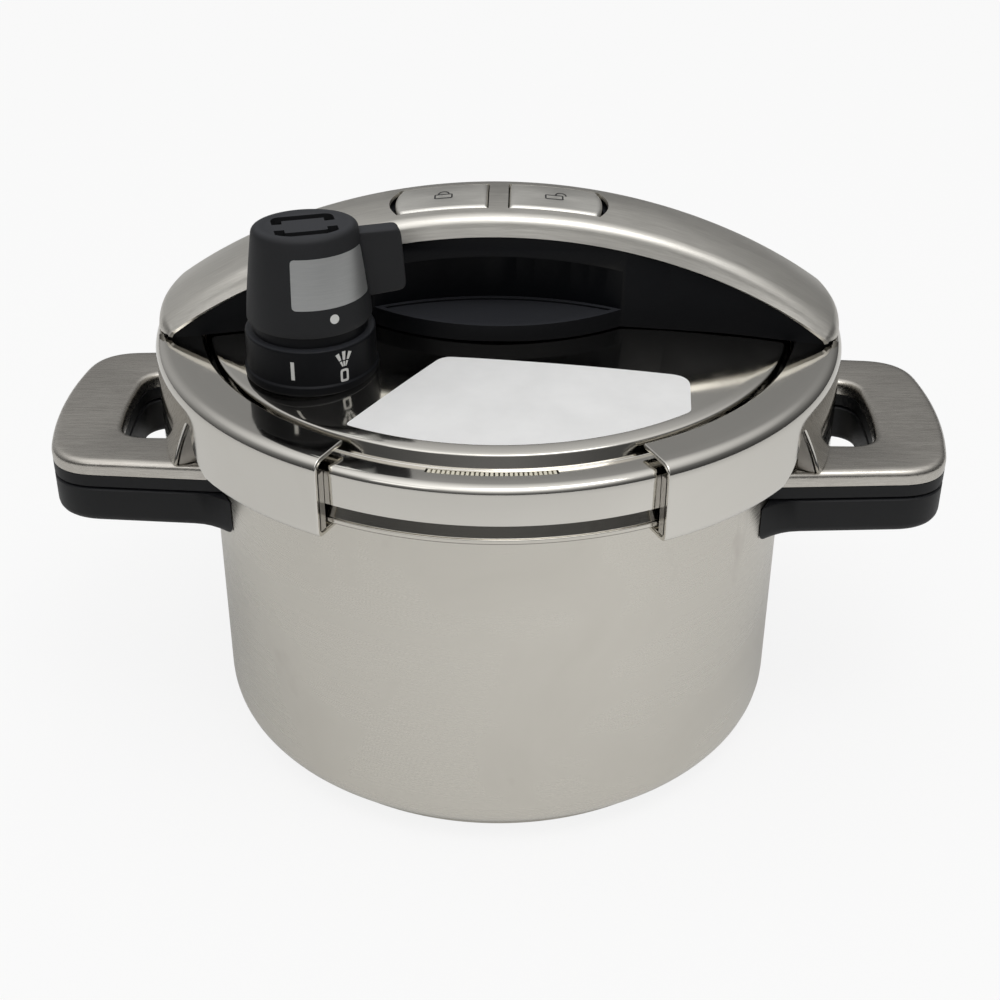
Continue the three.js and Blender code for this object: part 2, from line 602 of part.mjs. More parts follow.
function lowerGrip() {
  const loop = handleLoop(GRIP_BOTTOM, GRIP_TOP, { flare: GRIP_FLARE, bevel: GRIP_ROUNDING, flatTop: true });
  return cut(
    loop, handleBracket(SEAT),
    ...screwBores(GRIP_SCREW_HEAD_RADIUS + RUNNING_GAP, GRIP_BOTTOM - 1, SCREW_HEAD_SEAT),
    ...screwBores(GRIP_SCREW_RADIUS + SEAT, GRIP_BOTTOM, GRIP_TOP + 1),
  );
}

// The frame has a lower collar, inset behind the shadow line, and a core that fills the cap.
function upperFrame() {
  const band = handleLoop(FRAME_BOTTOM, FRAME_TOP, {});
  const collar = handleLoop(GRIP_TOP + SEAT, FRAME_BOTTOM + 1, { inset: GRIP_GROOVE_DEPTH });
  const core = handleLoop(FRAME_TOP - 1, HANDLE_TOP - CAP_SHEET - SEAT,
    { inset: CAP_SHEET + SEAT + CAP_EDGE });
  return cut(join(band, collar, core),
    ...screwBores(GRIP_SCREW_RADIUS + SEAT, GRIP_TOP - 1, SCREW_TIP + SEAT));
}

function handleCap() {
  const outside = handleLoop(CAP_BOTTOM, HANDLE_TOP, { bevel: CAP_EDGE, flatBottom: true });
  const inside = handleLoop(CAP_BOTTOM - 1, HANDLE_TOP - CAP_SHEET, { inset: CAP_SHEET + CAP_EDGE });
  return cut(outside, inside);
}

function gripScrew() {
  const headTop = SCREW_HEAD_SEAT - SEAT;
  const head = disc(GRIP_SCREW_HEAD_RADIUS, headTop - GRIP_SCREW_HEAD_HEIGHT, headTop, 12);
  return join(head, disc(GRIP_SCREW_RADIUS, SCREW_HEAD_SEAT - SEAT - 1, SCREW_TIP, 10));
}

// ---------------------------------------------------------------- lid

// The crowned centre's height at a radius: a parabola from the crest to the ridge.
function crownHeight(radius) {
  return LID_CREST - (LID_CREST - LID_RIDGE_TOP) * (radius / LID_RIDGE_RADIUS) ** 2;
}

// The pan's upper side as [radius, height], moved outwards by a distance in both directions.
function lidTop(grow = 0) {
  const ridge = LID_RIDGE_RADIUS + grow;
  const crown = [0, 0.4, 0.75].map((share) => share * LID_RIDGE_RADIUS)
    .map((radius) => [radius, crownHeight(radius) + grow]);
  return [
    ...crown,
    [LID_RIDGE_RADIUS - 2.2, crownHeight(LID_RIDGE_RADIUS - 2.2) + grow],
    [ridge - 0.5, LID_RIDGE_TOP - 0.6 + grow], [ridge, LID_RIDGE_TOP - 1.6 + grow],
  ];
}

function lidPan() {
  const groove = LID_RIM_TOP - LID_GROOVE_DEPTH;
  const crown = lidTop();
  const under = lidTop(-LID_SHEET);
  const r = LID_RIM_ROUNDING;
  const profile = [
    ...crown,
    [LID_RIDGE_RADIUS, groove + 0.6], [LID_RIDGE_RADIUS + 1, groove],
    [LID_RIDGE_RADIUS + 2.3, LID_RIM_TOP], [LID_SKIRT_RADIUS - r, LID_RIM_TOP],
    [LID_SKIRT_RADIUS - r * 0.3, LID_RIM_TOP - r * 0.3], [LID_SKIRT_RADIUS, LID_RIM_TOP - r],
    [LID_SKIRT_RADIUS, LID_SKIRT_BOTTOM], [SKIRT_INNER_RADIUS, LID_SKIRT_BOTTOM],
    [SKIRT_INNER_RADIUS, LID_RIM_TOP - r], [LID_SKIRT_RADIUS - r, LID_UNDERSIDE_RIM],
    [LID_RIDGE_RADIUS + 2.3, LID_UNDERSIDE_RIM], [LID_RIDGE_RADIUS, groove - LID_SHEET],
    ...under.reverse(),
  ];
  const slotOutline = rounded([
    [-RELIEF_SLOT_LENGTH / 2, -RELIEF_SLOT_WIDTH / 2, 0.8],
    [RELIEF_SLOT_LENGTH / 2, -RELIEF_SLOT_WIDTH / 2, 0.8],
    [RELIEF_SLOT_LENGTH / 2, RELIEF_SLOT_WIDTH / 2, 0.8],
    [-RELIEF_SLOT_LENGTH / 2, RELIEF_SLOT_WIDTH / 2, 0.8],
  ], 2);
  const slotMiddle = LID_RIDGE_RADIUS + RELIEF_SLOT_INSET;
  const bend = ({ x, y }) => new THREE.Vector2(
    (slotMiddle + y) * Math.sin(x / slotMiddle), -(slotMiddle + y) * Math.cos(x / slotMiddle));
  const dense = slotOutline.flatMap((p, i) => {
    const next = slotOutline[(i + 1) % slotOutline.length];
    const parts = Math.max(1, Math.round(p.distanceTo(next) / 5));
    return Array.from({ length: parts }, (_, k) => bend(p.clone().lerp(next, k / parts)));
  });
  const hole = (radius, x, y) => disc(radius, LID_RIM_TOP, LID_CREST + 2, 12).translate([x, y, 0]);
  return cut(
    turned(profile),
    raised(dense, LID_UNDERSIDE_RIM - 2, LID_RIM_TOP + 2),
    hole(STEM_RADIUS + SEAT, REGULATOR_X, REGULATOR_Y),
    hole(GROMMET_WAIST + SEAT, PLUG_X, PLUG_Y),
    hole(RELIEF_RADIUS - GROMMET_LIP + SEAT, -PLUG_X, PLUG_Y),
    hole(GUIDE_SCREW_RADIUS + SEAT, GUIDE_SCREW_X, 0), hole(GUIDE_SCREW_RADIUS + SEAT, -GUIDE_SCREW_X, 0),
  );
}

// Everything that the lid's upper side keeps clear, used to fit what stands on the crown.
function crownSpace() {
  return turned([[0, LID_UNDERSIDE_RIM], ...lidTop(SEAT), [LID_RIDGE_RADIUS + SEAT, LID_UNDERSIDE_RIM]]);
}

// The same space as a straight vault along X, for the bridge that stands across the crown.
function crownVault() {
  const ridge = LID_RIDGE_RADIUS + SEAT;
  const crown = [-1, -0.75, -0.4, 0, 0.4, 0.75, 1]
    .map((share) => [share * ridge, crownHeight(share * LID_RIDGE_RADIUS) + SEAT]);
  return upright([[-ridge, LID_UNDERSIDE_RIM], [ridge, LID_UNDERSIDE_RIM], ...crown.reverse()],
    HANDLE_REACH, -HANDLE_REACH);
}

// The seal is a ring whose two lips open towards the inside of the pot.
function gasket() {
  const outer = SKIRT_INNER_RADIUS - GASKET_MARGIN;
  const inner = POT_INNER_RADIUS + 1.2;
  const [low, high] = [POT_RIM_TOP + SEAT, LID_UNDERSIDE_RIM - SEAT];
  const chamfer = LID_RIM_ROUNDING;
  return turned([
    [inner, low], [outer, low], [outer, high - chamfer], [outer - chamfer, high], [inner, high],
    [inner, high - GASKET_LIP], [outer - GASKET_BACK, high - GASKET_LIP - 1],
    [outer - GASKET_BACK, low + GASKET_LIP], [inner, low + GASKET_LIP],
  ], 36);
}

// ---------------------------------------------------------------- clamp jaws, right-hand one

// The slit beside the tongue and everything below the skirt, seen along the radius.
// u runs round the jaw, from the slit towards the jaw's end.
function notchOutline() {
  const reach = JAW_OUTER_RADIUS;
  const tongueFoot = -JAW_OUTER_RADIUS * Math.sin((NOTCH_ANGLE - TONGUE_HALF_ANGLE) * DEG);
  const half = NOTCH_WIDTH / 2;
  return rounded([
    [-half, NOTCH_TOP, half * 0.8], [half, NOTCH_TOP, half * 0.8],
    [half, JAW_BOTTOM, SKIRT_CORNER], [reach, JAW_BOTTOM, 0],
    [reach, TONGUE_BOTTOM - 1, 0], [tongueFoot, TONGUE_BOTTOM - 1, 0],
  ], 4);
}

function notchCut(side) {
  const outline = notchOutline().map(({ x, y }) => new THREE.Vector2(side * x, y));
  const geometry = new THREE.ExtrudeGeometry(new THREE.Shape(outline), {
    depth: JAW_OUTER_RADIUS + 10, bevelEnabled: false,
  });
  // the outline's u becomes the tangent, its height becomes Z, and it is pushed out along the radius
  geometry.applyMatrix4(new THREE.Matrix4().makeBasis(
    new THREE.Vector3(0, 1, 0), new THREE.Vector3(0, 0, 1), new THREE.Vector3(1, 0, 0)));
  return solid(geometry.rotateZ(side * NOTCH_ANGLE * DEG));
}

const JAW_STEPS = 18;

function jaw() {
  const underTop = JAW_TOP - JAW_SHEET;
  const r = JAW_SHOULDER;
  const channel = arcBar([
    [JAW_FLANGE_INNER_RADIUS, underTop], [JAW_INNER_RADIUS - 1, underTop], [JAW_INNER_RADIUS, underTop - 1],
    [JAW_INNER_RADIUS, JAW_BOTTOM + JAW_SHEET], [JAW_LIP_INNER_RADIUS, JAW_BOTTOM + JAW_SHEET],
    [JAW_LIP_INNER_RADIUS, JAW_BOTTOM], [JAW_OUTER_RADIUS, JAW_BOTTOM], [JAW_OUTER_RADIUS, JAW_TOP - r],
    [JAW_OUTER_RADIUS - r * 0.3, JAW_TOP - r * 0.3], [JAW_OUTER_RADIUS - r, JAW_TOP],
    [JAW_FLANGE_INNER_RADIUS, JAW_TOP],
  ], -JAW_HALF_ANGLE, JAW_HALF_ANGLE, JAW_STEPS);
  const wall = (bottom, top, halfAngle, steps) => arcBar([
    [JAW_INNER_RADIUS, bottom], [JAW_OUTER_RADIUS, bottom], [JAW_OUTER_RADIUS, top], [JAW_INNER_RADIUS, top],
  ], -halfAngle, halfAngle, steps);
  const step = 2 * JAW_HALF_ANGLE / JAW_STEPS;
  const tabHalfAngle = Math.asin(JAW_TAB_HALF_WIDTH / JAW_OUTER_RADIUS) / DEG;
  const tongue = wall(TONGUE_BOTTOM, JAW_BOTTOM + JAW_SHEET, 5 * step, 10);
  const tab = wall(JAW_TOP - JAW_SHOULDER - 1, JAW_TAB_TOP, tabHalfAngle, 2);
  const flangePath = disc(POT_FLANGE_RADIUS + POT_BEAD + RUNNING_GAP,
    JAW_BOTTOM - 1, JAW_BOTTOM + 2 * JAW_SHEET, 64)
    .translate([-JAW_TRAVEL, 0, 0]);
  return cut(join(channel, tongue, tab), notchCut(1), notchCut(-1), flangePath);
}

// ---------------------------------------------------------------- jaw linkage

// One rack arm: a foot on the jaw, a slope, a slotted strap on the plate, and the rack.
function rackArm() {
  const footStart = LID_RIDGE_RADIUS + SEAT + ARM_SHEET + 1;
  const strapEnd = footStart - (ARM_BOTTOM - ARM_FOOT_BOTTOM);
  const bend = ARM_SHEET * 0.41;
  const strapInner = PITCH_RADIUS * 4;
  const footEnd = JAW_INNER_RADIUS - RUNNING_GAP - 0.8;
  const side = upright([
    [strapInner, ARM_BOTTOM], [strapEnd, ARM_BOTTOM], [footStart, ARM_FOOT_BOTTOM],
    [footEnd, ARM_FOOT_BOTTOM], [footEnd, ARM_FOOT_TOP], [footStart + bend, ARM_FOOT_TOP],
    [strapEnd + bend, ARM_TOP], [strapInner, ARM_TOP],
  ], ARM_HALF_WIDTH, -ARM_HALF_WIDTH);
  const slotReach = GUIDE_SCREW_RADIUS + RUNNING_GAP;
  const slot = raised(rounded([
    [GUIDE_SCREW_X - JAW_TRAVEL - slotReach, -slotReach, slotReach * 0.9],
    [GUIDE_SCREW_X + slotReach, -slotReach, slotReach * 0.9],
    [GUIDE_SCREW_X + slotReach, slotReach, slotReach * 0.9],
    [GUIDE_SCREW_X - JAW_TRAVEL - slotReach, slotReach, slotReach * 0.9],
  ], 3), ARM_BOTTOM - 1, ARM_TOP + 1);
  return cut(join(side, rackBar()), slot);
}

// The rack's teeth point to the pinion at y = 0, and one tooth is centred on x = 0.
function rackBar() {
  const slope = Math.tan(PRESSURE_ANGLE * DEG);
  const halfAtPitch = (TOOTH_PITCH / 2 - TOOTH_BACKLASH) / 2;
  const [tipY, rootY] = [PITCH_RADIUS - TOOTH_ADDENDUM, PITCH_RADIUS + TOOTH_DEDENDUM];
  const halfTip = halfAtPitch - TOOTH_ADDENDUM * slope;
  const halfRoot = halfAtPitch + TOOTH_DEDENDUM * slope;
  const teethInward = Math.ceil((JAW_TRAVEL + PITCH_RADIUS) / TOOTH_PITCH);
  const outline = [];
  for (let k = -teethInward; k <= 2; k++) {
    const x = k * TOOTH_PITCH;
    outline.push([x - halfRoot, rootY], [x - halfTip, tipY], [x + halfTip, tipY], [x + halfRoot, rootY]);
  }
  const [inner, outer] = [-(teethInward + 0.5) * TOOTH_PITCH, PITCH_RADIUS * 4 + 2];
  const backY = rootY + RACK_BACK;
  return raised([[inner, rootY], ...outline, [outer, rootY], [outer, backY], [inner, backY]].map(vec2),
    ARM_BOTTOM, ARM_TOP);
}

// Involute teeth. With a tooth space on the Y axis both racks are in mesh at rest.
function pinion() {
  const baseRadius = PITCH_RADIUS * Math.cos(PRESSURE_ANGLE * DEG);
  const involute = (angle) => Math.tan(angle) - angle;
  const halfAtPitch = (TOOTH_PITCH / 2 - TOOTH_BACKLASH) / (2 * PITCH_RADIUS);
  const halfAt = (radius) => halfAtPitch + involute(PRESSURE_ANGLE * DEG)
    - involute(Math.acos(Math.min(1, baseRadius / radius)));
  const root = PITCH_RADIUS - TOOTH_DEDENDUM;
  const tip = PITCH_RADIUS + TOOTH_ADDENDUM;
  const flank = [0, 1].map((t) => baseRadius + (tip - baseRadius) * t);
  const outline = [];
  const polar = (radius, angle) => {
    outline.push(new THREE.Vector2(radius * Math.cos(angle), radius * Math.sin(angle)));
  };
  for (let k = 0; k < PINION_TEETH; k++) {
    const middle = Math.PI / 2 + (k + 0.5) * 2 * Math.PI / PINION_TEETH;
    polar(root, middle - halfAt(baseRadius));
    flank.forEach((radius) => polar(radius, middle - halfAt(radius)));
    flank.toReversed().forEach((radius) => polar(radius, middle + halfAt(radius)));
    polar(root, middle + halfAt(baseRadius));
  }
  return cut(raised(outline, ARM_BOTTOM, ARM_TOP),
    disc(PINION_SHAFT_RADIUS + 0.1, ARM_BOTTOM - 1, ARM_TOP + 1, 12));
}

const SPRING_POCKET_TOP = CAVITY_TOP + 2 * OPENING_SPRING_WIRE * (OPENING_SPRING_TURNS + 1) + 0.6;
const SHAFT_TOP = SPRING_POCKET_TOP + PINION_SHAFT_REACH;

function pinionShaft() {
  const collar = disc(PINION_SHAFT_RADIUS + SHAFT_COLLAR, ARM_TOP + 0.1, CAVITY_TOP, 12);
  return join(disc(PINION_SHAFT_RADIUS, PLATE_BOTTOM, SHAFT_TOP, 12), collar);
}

function mechanismPlate() {
  const [length, width] = [PLATE_HALF_LENGTH, PLATE_HALF_WIDTH];
  const corners = [[-length, -width], [length, -width], [length, width], [-length, width]];
  const outline = rounded(corners.map((corner) => [...corner, PLATE_CORNER]), 2);
  const hole = (radius, x) => disc(radius, PLATE_BOTTOM - 1, PLATE_TOP + 1, 12).translate([x, 0, 0]);
  return cut(
    raised(outline, PLATE_BOTTOM, PLATE_TOP),
    hole(PINION_SHAFT_RADIUS + 0.1, 0),
    hole(GUIDE_SCREW_RADIUS + 0.2, GUIDE_SCREW_X), hole(GUIDE_SCREW_RADIUS + 0.2, -GUIDE_SCREW_X),
  );
}

const GUIDE_HEAD_TOP = crownHeight(GUIDE_SCREW_X + GUIDE_SCREW_HEAD_RADIUS) - LID_SHEET - SEAT;

function guideScrew() {
  const head = disc(GUIDE_SCREW_HEAD_RADIUS, GUIDE_HEAD_TOP - GUIDE_SCREW_HEAD_HEIGHT, GUIDE_HEAD_TOP, 12);
  return join(head, disc(GUIDE_SCREW_RADIUS, GUIDE_HEAD_TOP - 1, CAVITY_TOP + GUIDE_SCREW_REACH, 12));
}

// ---------------------------------------------------------------- bridge handle

// The arch runs through its top and meets both shoulders tangentially.
const SHOULDER_X = BRIDGE_END - BRIDGE_SHOULDER;
const SHOULDER_DROP = ARCH_TOP - BRIDGE_SEAM + ARCH_FOOT;
const ARCH_RADIUS = (SHOULDER_DROP ** 2 + SHOULDER_X ** 2 - BRIDGE_SHOULDER ** 2)
  / (2 * (SHOULDER_DROP - BRIDGE_SHOULDER));
const ARCH_CENTRE = ARCH_TOP - ARCH_RADIUS;

// The angle from the vertical at which the arch meets its shoulder.
const SHOULDER_ANGLE = Math.asin(SHOULDER_X / (ARCH_RADIUS - BRIDGE_SHOULDER));

function archHeight(x, below = 0) {
  return ARCH_CENTRE + Math.sqrt((ARCH_RADIUS - below) ** 2 - x * x);
}

// Stations of the fold line from the left foot over the arch to the right foot: a point and the
// direction that points away from the bridge.
function bridgePath(archSteps, shoulderSteps) {
  const right = [];
  const arc = (centreX, centreZ, radius, angle) => right.push({
    x: centreX + radius * Math.sin(angle), z: centreZ + radius * Math.cos(angle),
    outX: Math.sin(angle), outZ: Math.cos(angle),
  });
  for (let k = 0; k < archSteps; k++) arc(0, ARCH_CENTRE, ARCH_RADIUS, SHOULDER_ANGLE * k / archSteps);
  for (let k = 0; k <= shoulderSteps; k++) {
    const angle = SHOULDER_ANGLE + (Math.PI / 2 - SHOULDER_ANGLE) * k / shoulderSteps;
    arc(SHOULDER_X, ARCH_TOP - SHOULDER_DROP, BRIDGE_SHOULDER, angle);
  }
  right.push({ x: BRIDGE_END, z: BRIDGE_SEAM - COVER_DEPTH, outX: 1, outZ: 0 });
  const left = right.slice(1).reverse().map((p) => ({ ...p, x: -p.x, outX: -p.outX }));
  return [...left, ...right];
}

// How much wider the bridge is at x than at its middle, each side.
const bridgeSpread = (x) => COVER_END_SPREAD * (x / BRIDGE_END) ** 4;

// How far the cover's side walls reach below the fold at x.
const coverDepth = (x) => COVER_DEPTH - COVER_END_RISE * (x / BRIDGE_END) ** 4;

// The bridge's ends follow the round lid in plan.
function roundEnd(x, y) {
  const sagitta = BRIDGE_END - Math.sqrt(BRIDGE_END ** 2 - y * y);
  return x - Math.sign(x) * sagitta * (x / BRIDGE_END) ** 4;
}

// Half of the cover's section as [across, out from the fold line], from the crest to the lower edge.
function coverHalfSection(depth, inset) {
  const fold = COVER_FOLD_HALF_WIDTH;
  return [
    [0, COVER_CROWN - inset], [fold * 0.6, COVER_CROWN * 0.6 - inset],
    [fold - 0.8 - inset * 0.5, -inset], [fold - inset, -1.2 - inset * 0.5],
    [fold + COVER_FLARE - inset, -depth],
  ];
}

// The whole section of the cover's sheet, there along its outside and back along its inside.
function coverSection(depth) {
  const mirrored = (half) => [...half.slice(1).toReversed().map(([y, h]) => [-y, h]), ...half];
  return [
    ...mirrored(coverHalfSection(depth, 0)), ...mirrored(coverHalfSection(depth, COVER_SHEET)).toReversed(),
  ];
}

function bridgeCover() {
  const rings = bridgePath(7, 3).map(({ x, z, outX, outZ }) => coverSection(coverDepth(x)).map(([y, h]) => {
    const across = y + Math.sign(y) * bridgeSpread(x);
    return new THREE.Vector3(roundEnd(x + h * outX, across), across, z + h * outZ);
  }));
  const shell = solid(loft(rings, coverSection(COVER_DEPTH).map(vec2)));
  const feet = block([-BRIDGE_END * 2, BRIDGE_END * 2], [-60, 60], [BRIDGE_SEAM - 40, BRIDGE_SEAM]);
  return cut(shell, feet, buttonWindow(1), buttonWindow(-1));
}

// A button's plan. grow widens it, and bow is how far its outer end bulges.
function buttonOutline(side, grow, bow, outerGrow = grow) {
  const [inner, outer] = [BUTTON_INNER_X - grow, BUTTON_OUTER_X + outerGrow];
  const half = BUTTON_HALF_DEPTH + grow;
  const outline = [[inner, -half], [outer, -half]];
  for (let k = 1; k < 6; k++) {
    const y = -half + 2 * half * k / 6;
    outline.push([outer + bow * (1 - (y / half) ** 2), y]);
  }
  outline.push([outer, half], [inner, half]);
  return outline.map(([x, y]) => new THREE.Vector2(side * x, y));
}

function buttonWindow(side) {
  const outline = buttonOutline(side, BUTTON_GAP, BUTTON_END_BOW + CRESCENT_GAP - BUTTON_GAP);
  return raised(outline, ARCH_TOP - 20, ARCH_TOP + 20);
}

// The space under the arch, a distance below the fold line and above a height.
function underArch(below, bottom, halfLength) {
  const outline = [[-halfLength, bottom], [halfLength, bottom]];
  for (let k = 0; k <= 14; k++) {
    const x = halfLength * (1 - k / 7);
    outline.push([x, archHeight(x, below)]);
  }
  return upright(outline, HANDLE_REACH, -HANDLE_REACH);
}

// The space under the whole cover, inside the fold line by a distance given for each x, down to the
// lid. Its ends are upright planes, placed as the round ends are at y.
function underCover(inside, y) {
  const outline = bridgePath(8, 3).map(({ x, z, outX, outZ }) => [
    roundEnd(x - inside(x) * outX, y), z - inside(x) * outZ,
  ]);
  return upright(outline, HANDLE_REACH, -HANDLE_REACH);
}

// A tall cylinder through the niche's two edges and its deepest point.
function chordCylinder(halfChord, rise, edgeY, bottom, top, side) {
  const radius = (halfChord ** 2 + rise ** 2) / (2 * Math.abs(rise));
  const centre = edgeY + rise - Math.sign(rise) * radius;
  return disc(radius, bottom, top, 96).translate([0, side * centre, 0]);
}

// Stations along the body's front side, for its half width at the middle.
function bodySide(middleHalf) {
  const steps = 8;
  return Array.from({ length: 2 * steps + 1 }, (_, k) => {
    const x = BODY_END * (k - steps) / steps;
    return new THREE.Vector2(x, -middleHalf - bridgeSpread(x));
  });
}

const turnedRound = ({ x, y }) => new THREE.Vector2(-x, -y);

function bridgeBody() {
  const foot = JAW_TOP + SEAT;
  const front = bodySide(BODY_HALF_WIDTH).map(({ x, y }) => new THREE.Vector2(roundEnd(x, y), y));
  const coverInside = 0.9 + COVER_SHEET + CORE_GAP;
  const core = raised([...front, ...front.map(turnedRound)], foot, ARCH_TOP)
    .intersect(underCover(() => coverInside, 0));
  // above the lower edge of the cover's side walls the core is as narrow as the walls leave it
  const besideWalls = [
    new THREE.Vector2(-BRIDGE_END, -HANDLE_REACH), new THREE.Vector2(BRIDGE_END, -HANDLE_REACH),
    ...bodySide(BODY_HALF_WIDTH - COVER_FLARE).reverse(),
  ];
  const belowWalls = underCover((x) => coverDepth(x) * 0.97, COVER_LOWER_HALF_WIDTH + COVER_END_SPREAD);
  const shoulderSpace = [besideWalls, besideWalls.map(turnedRound)]
    .map((outline) => raised(outline, foot, ARCH_TOP + 2).subtract(belowWalls));
  const side = BODY_HALF_WIDTH;
  const ledges = [1, -1].map((to) => chordCylinder(NICHE_HALF_LENGTH, LEDGE_REACH, side, foot, LEDGE_TOP, to)
    .intersect(block([-NICHE_HALF_LENGTH, NICHE_HALF_LENGTH], to > 0 ? [side - 2, 60] : [-60, 2 - side],
      [foot, LEDGE_TOP])));
  const niches = [1, -1].map((to) => chordCylinder(
    NICHE_HALF_LENGTH, -NICHE_DEPTH, side, LEDGE_TOP, ARCH_TOP, to)
    .intersect(underArch(NICHE_CEILING, LEDGE_TOP, NICHE_HALF_LENGTH + 2)));
  const dishHalfLength = NICHE_HALF_LENGTH - LEDGE_RIM * 2;
  const dishPart = (rise, to) => chordCylinder(
    dishHalfLength, rise, side, LEDGE_TOP - LEDGE_DISH, LEDGE_TOP + 1, to);
  const dishes = [1, -1].map((to) => dishPart(LEDGE_REACH - LEDGE_RIM, to).intersect(
    dishPart(LEDGE_RIM - NICHE_DEPTH, to)));
  const tunnelHalf = ARM_HALF_WIDTH + 2 * RUNNING_GAP;
  const armTunnel = block([-HANDLE_REACH, HANDLE_REACH], [-tunnelHalf, tunnelHalf], [foot - 1, CAVITY_TOP]);
  const plateSpace = block([-PLATE_HALF_LENGTH - SEAT, PLATE_HALF_LENGTH + SEAT],
    [-PLATE_HALF_WIDTH - SEAT, PLATE_HALF_WIDTH + SEAT], [foot - 1, CAVITY_TOP]);
  const springPocket = disc(
    OPENING_SPRING_RADIUS + OPENING_SPRING_WIRE + RUNNING_GAP, CAVITY_TOP - 1, SPRING_POCKET_TOP, 16);
  const screwTop = CAVITY_TOP + GUIDE_SCREW_REACH + SEAT;
  const bores = [
    disc(PINION_SHAFT_RADIUS + 0.1, CAVITY_TOP, SHAFT_TOP + SEAT, 12),
    ...[1, -1].map((to) => disc(GUIDE_SCREW_RADIUS + 0.2, CAVITY_TOP - 1, screwTop, 12)
      .translate([to * GUIDE_SCREW_X, 0, 0])),
  ];
  return cut(
    join(core, ...ledges), ...shoulderSpace, ...niches, ...dishes,
    crownVault(), armTunnel, plateSpace, springPocket, ...bores, buttonWell(1), buttonWell(-1),
  );
}

// ---------------------------------------------------------------- lock and release buttons

const BUTTON_MIDDLE_X = (BUTTON_INNER_X + BUTTON_OUTER_X) / 2;
const CAP_UNDERSIDE = archHeight(BUTTON_OUTER_X + BUTTON_END_BOW)
  + COVER_CROWN + BUTTON_PROUD - BUTTON_SHEET - 0.6;
const PLUNGER_TOP = CAP_UNDERSIDE - SEAT;
const PLUNGER_BOTTOM = PLUNGER_TOP - PLUNGER_THICKNESS;
const WELL_FLOOR = PLUNGER_BOTTOM - BUTTON_TRAVEL - RUNNING_GAP;
const POCKET_FLOOR = WELL_FLOOR - BUTTON_SPRING_POCKET;

function buttonWell(side) {
  const well = raised(buttonOutline(side, BUTTON_GAP, BUTTON_END_BOW + RUNNING_GAP),
    WELL_FLOOR, ARCH_TOP + 5);
  const pocketRadius = BUTTON_SPRING_RADIUS + BUTTON_SPRING_WIRE + RUNNING_GAP;
  const pocket = disc(pocketRadius, POCKET_FLOOR, WELL_FLOOR + 1, 12);
  const bore = disc(PLUNGER_STEM_RADIUS + SEAT, CAVITY_TOP - 1, POCKET_FLOOR + 1, 12);
  return join(well, join(pocket, bore).translate([side * BUTTON_MIDDLE_X, 0, 0]));
}

// The button's steel cap follows the arch on top and is flat underneath.
function buttonCap(side) {
  const top = ARCH_TOP + COVER_CROWN * 2;
  const outline = buttonOutline(side, 0, BUTTON_END_BOW);
  return raised(outline, CAP_UNDERSIDE, top)
    .intersect(underArch(-COVER_CROWN - BUTTON_PROUD, CAP_UNDERSIDE - 5, BUTTON_OUTER_X * 1.2))
    .translate([-side * BUTTON_MIDDLE_X, 0, 0]);
}

function buttonPlunger(side) {
  const platform = raised(buttonOutline(side, -PLUNGER_MARGIN, BUTTON_END_BOW), PLUNGER_BOTTOM, PLUNGER_TOP)
    .translate([-side * BUTTON_MIDDLE_X, 0, 0]);
  const tip = PLUNGER_STEM_RADIUS / 2;
  const low = CAVITY_TOP + PLUNGER_TIP_GAP;
  return join(platform, turned([
    [0, low], [PLUNGER_STEM_RADIUS - tip, low], [PLUNGER_STEM_RADIUS, low + tip],
    [PLUNGER_STEM_RADIUS, PLUNGER_BOTTOM + 1], [0, PLUNGER_BOTTOM + 1],
  ], 12));
}

function buttonSpring() {
  return coil(BUTTON_SPRING_RADIUS, BUTTON_SPRING_WIRE, POCKET_FLOOR + SEAT, PLUNGER_BOTTOM - SEAT,
    BUTTON_SPRING_TURNS);
}

// ---------------------------------------------------------------- pressure regulator

// An ellipse in plan. The knob's ends lie along X, on the side of its wing.
function ellipse(halfLength, halfWidth, count = 28) {
  return Array.from({ length: count }, (_, k) => {
    const angle = 2 * Math.PI * k / count;
    return new THREE.Vector2(halfLength * Math.cos(angle), halfWidth * Math.sin(angle));
  });
}

// A tapered oval body through [height, half length, half width] stations.
function ovalStack(stations, count) {
  const rings = stations.map(([z, a, b]) => ellipse(a, b, count)
    .map(({ x, y }) => new THREE.Vector3(x, y, z)));
  return solid(loft(rings, ellipse(1, 1, count)));
}

// Half length and half width of the knob at a height, a wall thickness further in.
function knobStation(z, inset = 0) {
  const t = THREE.MathUtils.clamp((z - KNOB_BOTTOM) / (KNOB_TOP - KNOB_BOTTOM), 0, 1);
  const mix = (from, to) => from + (to - from) * t ** 1.25 - inset;
  return [z, mix(KNOB_BASE_RADIUS, KNOB_TOP_HALF_LENGTH), mix(KNOB_BASE_RADIUS, KNOB_TOP_HALF_WIDTH)];
}

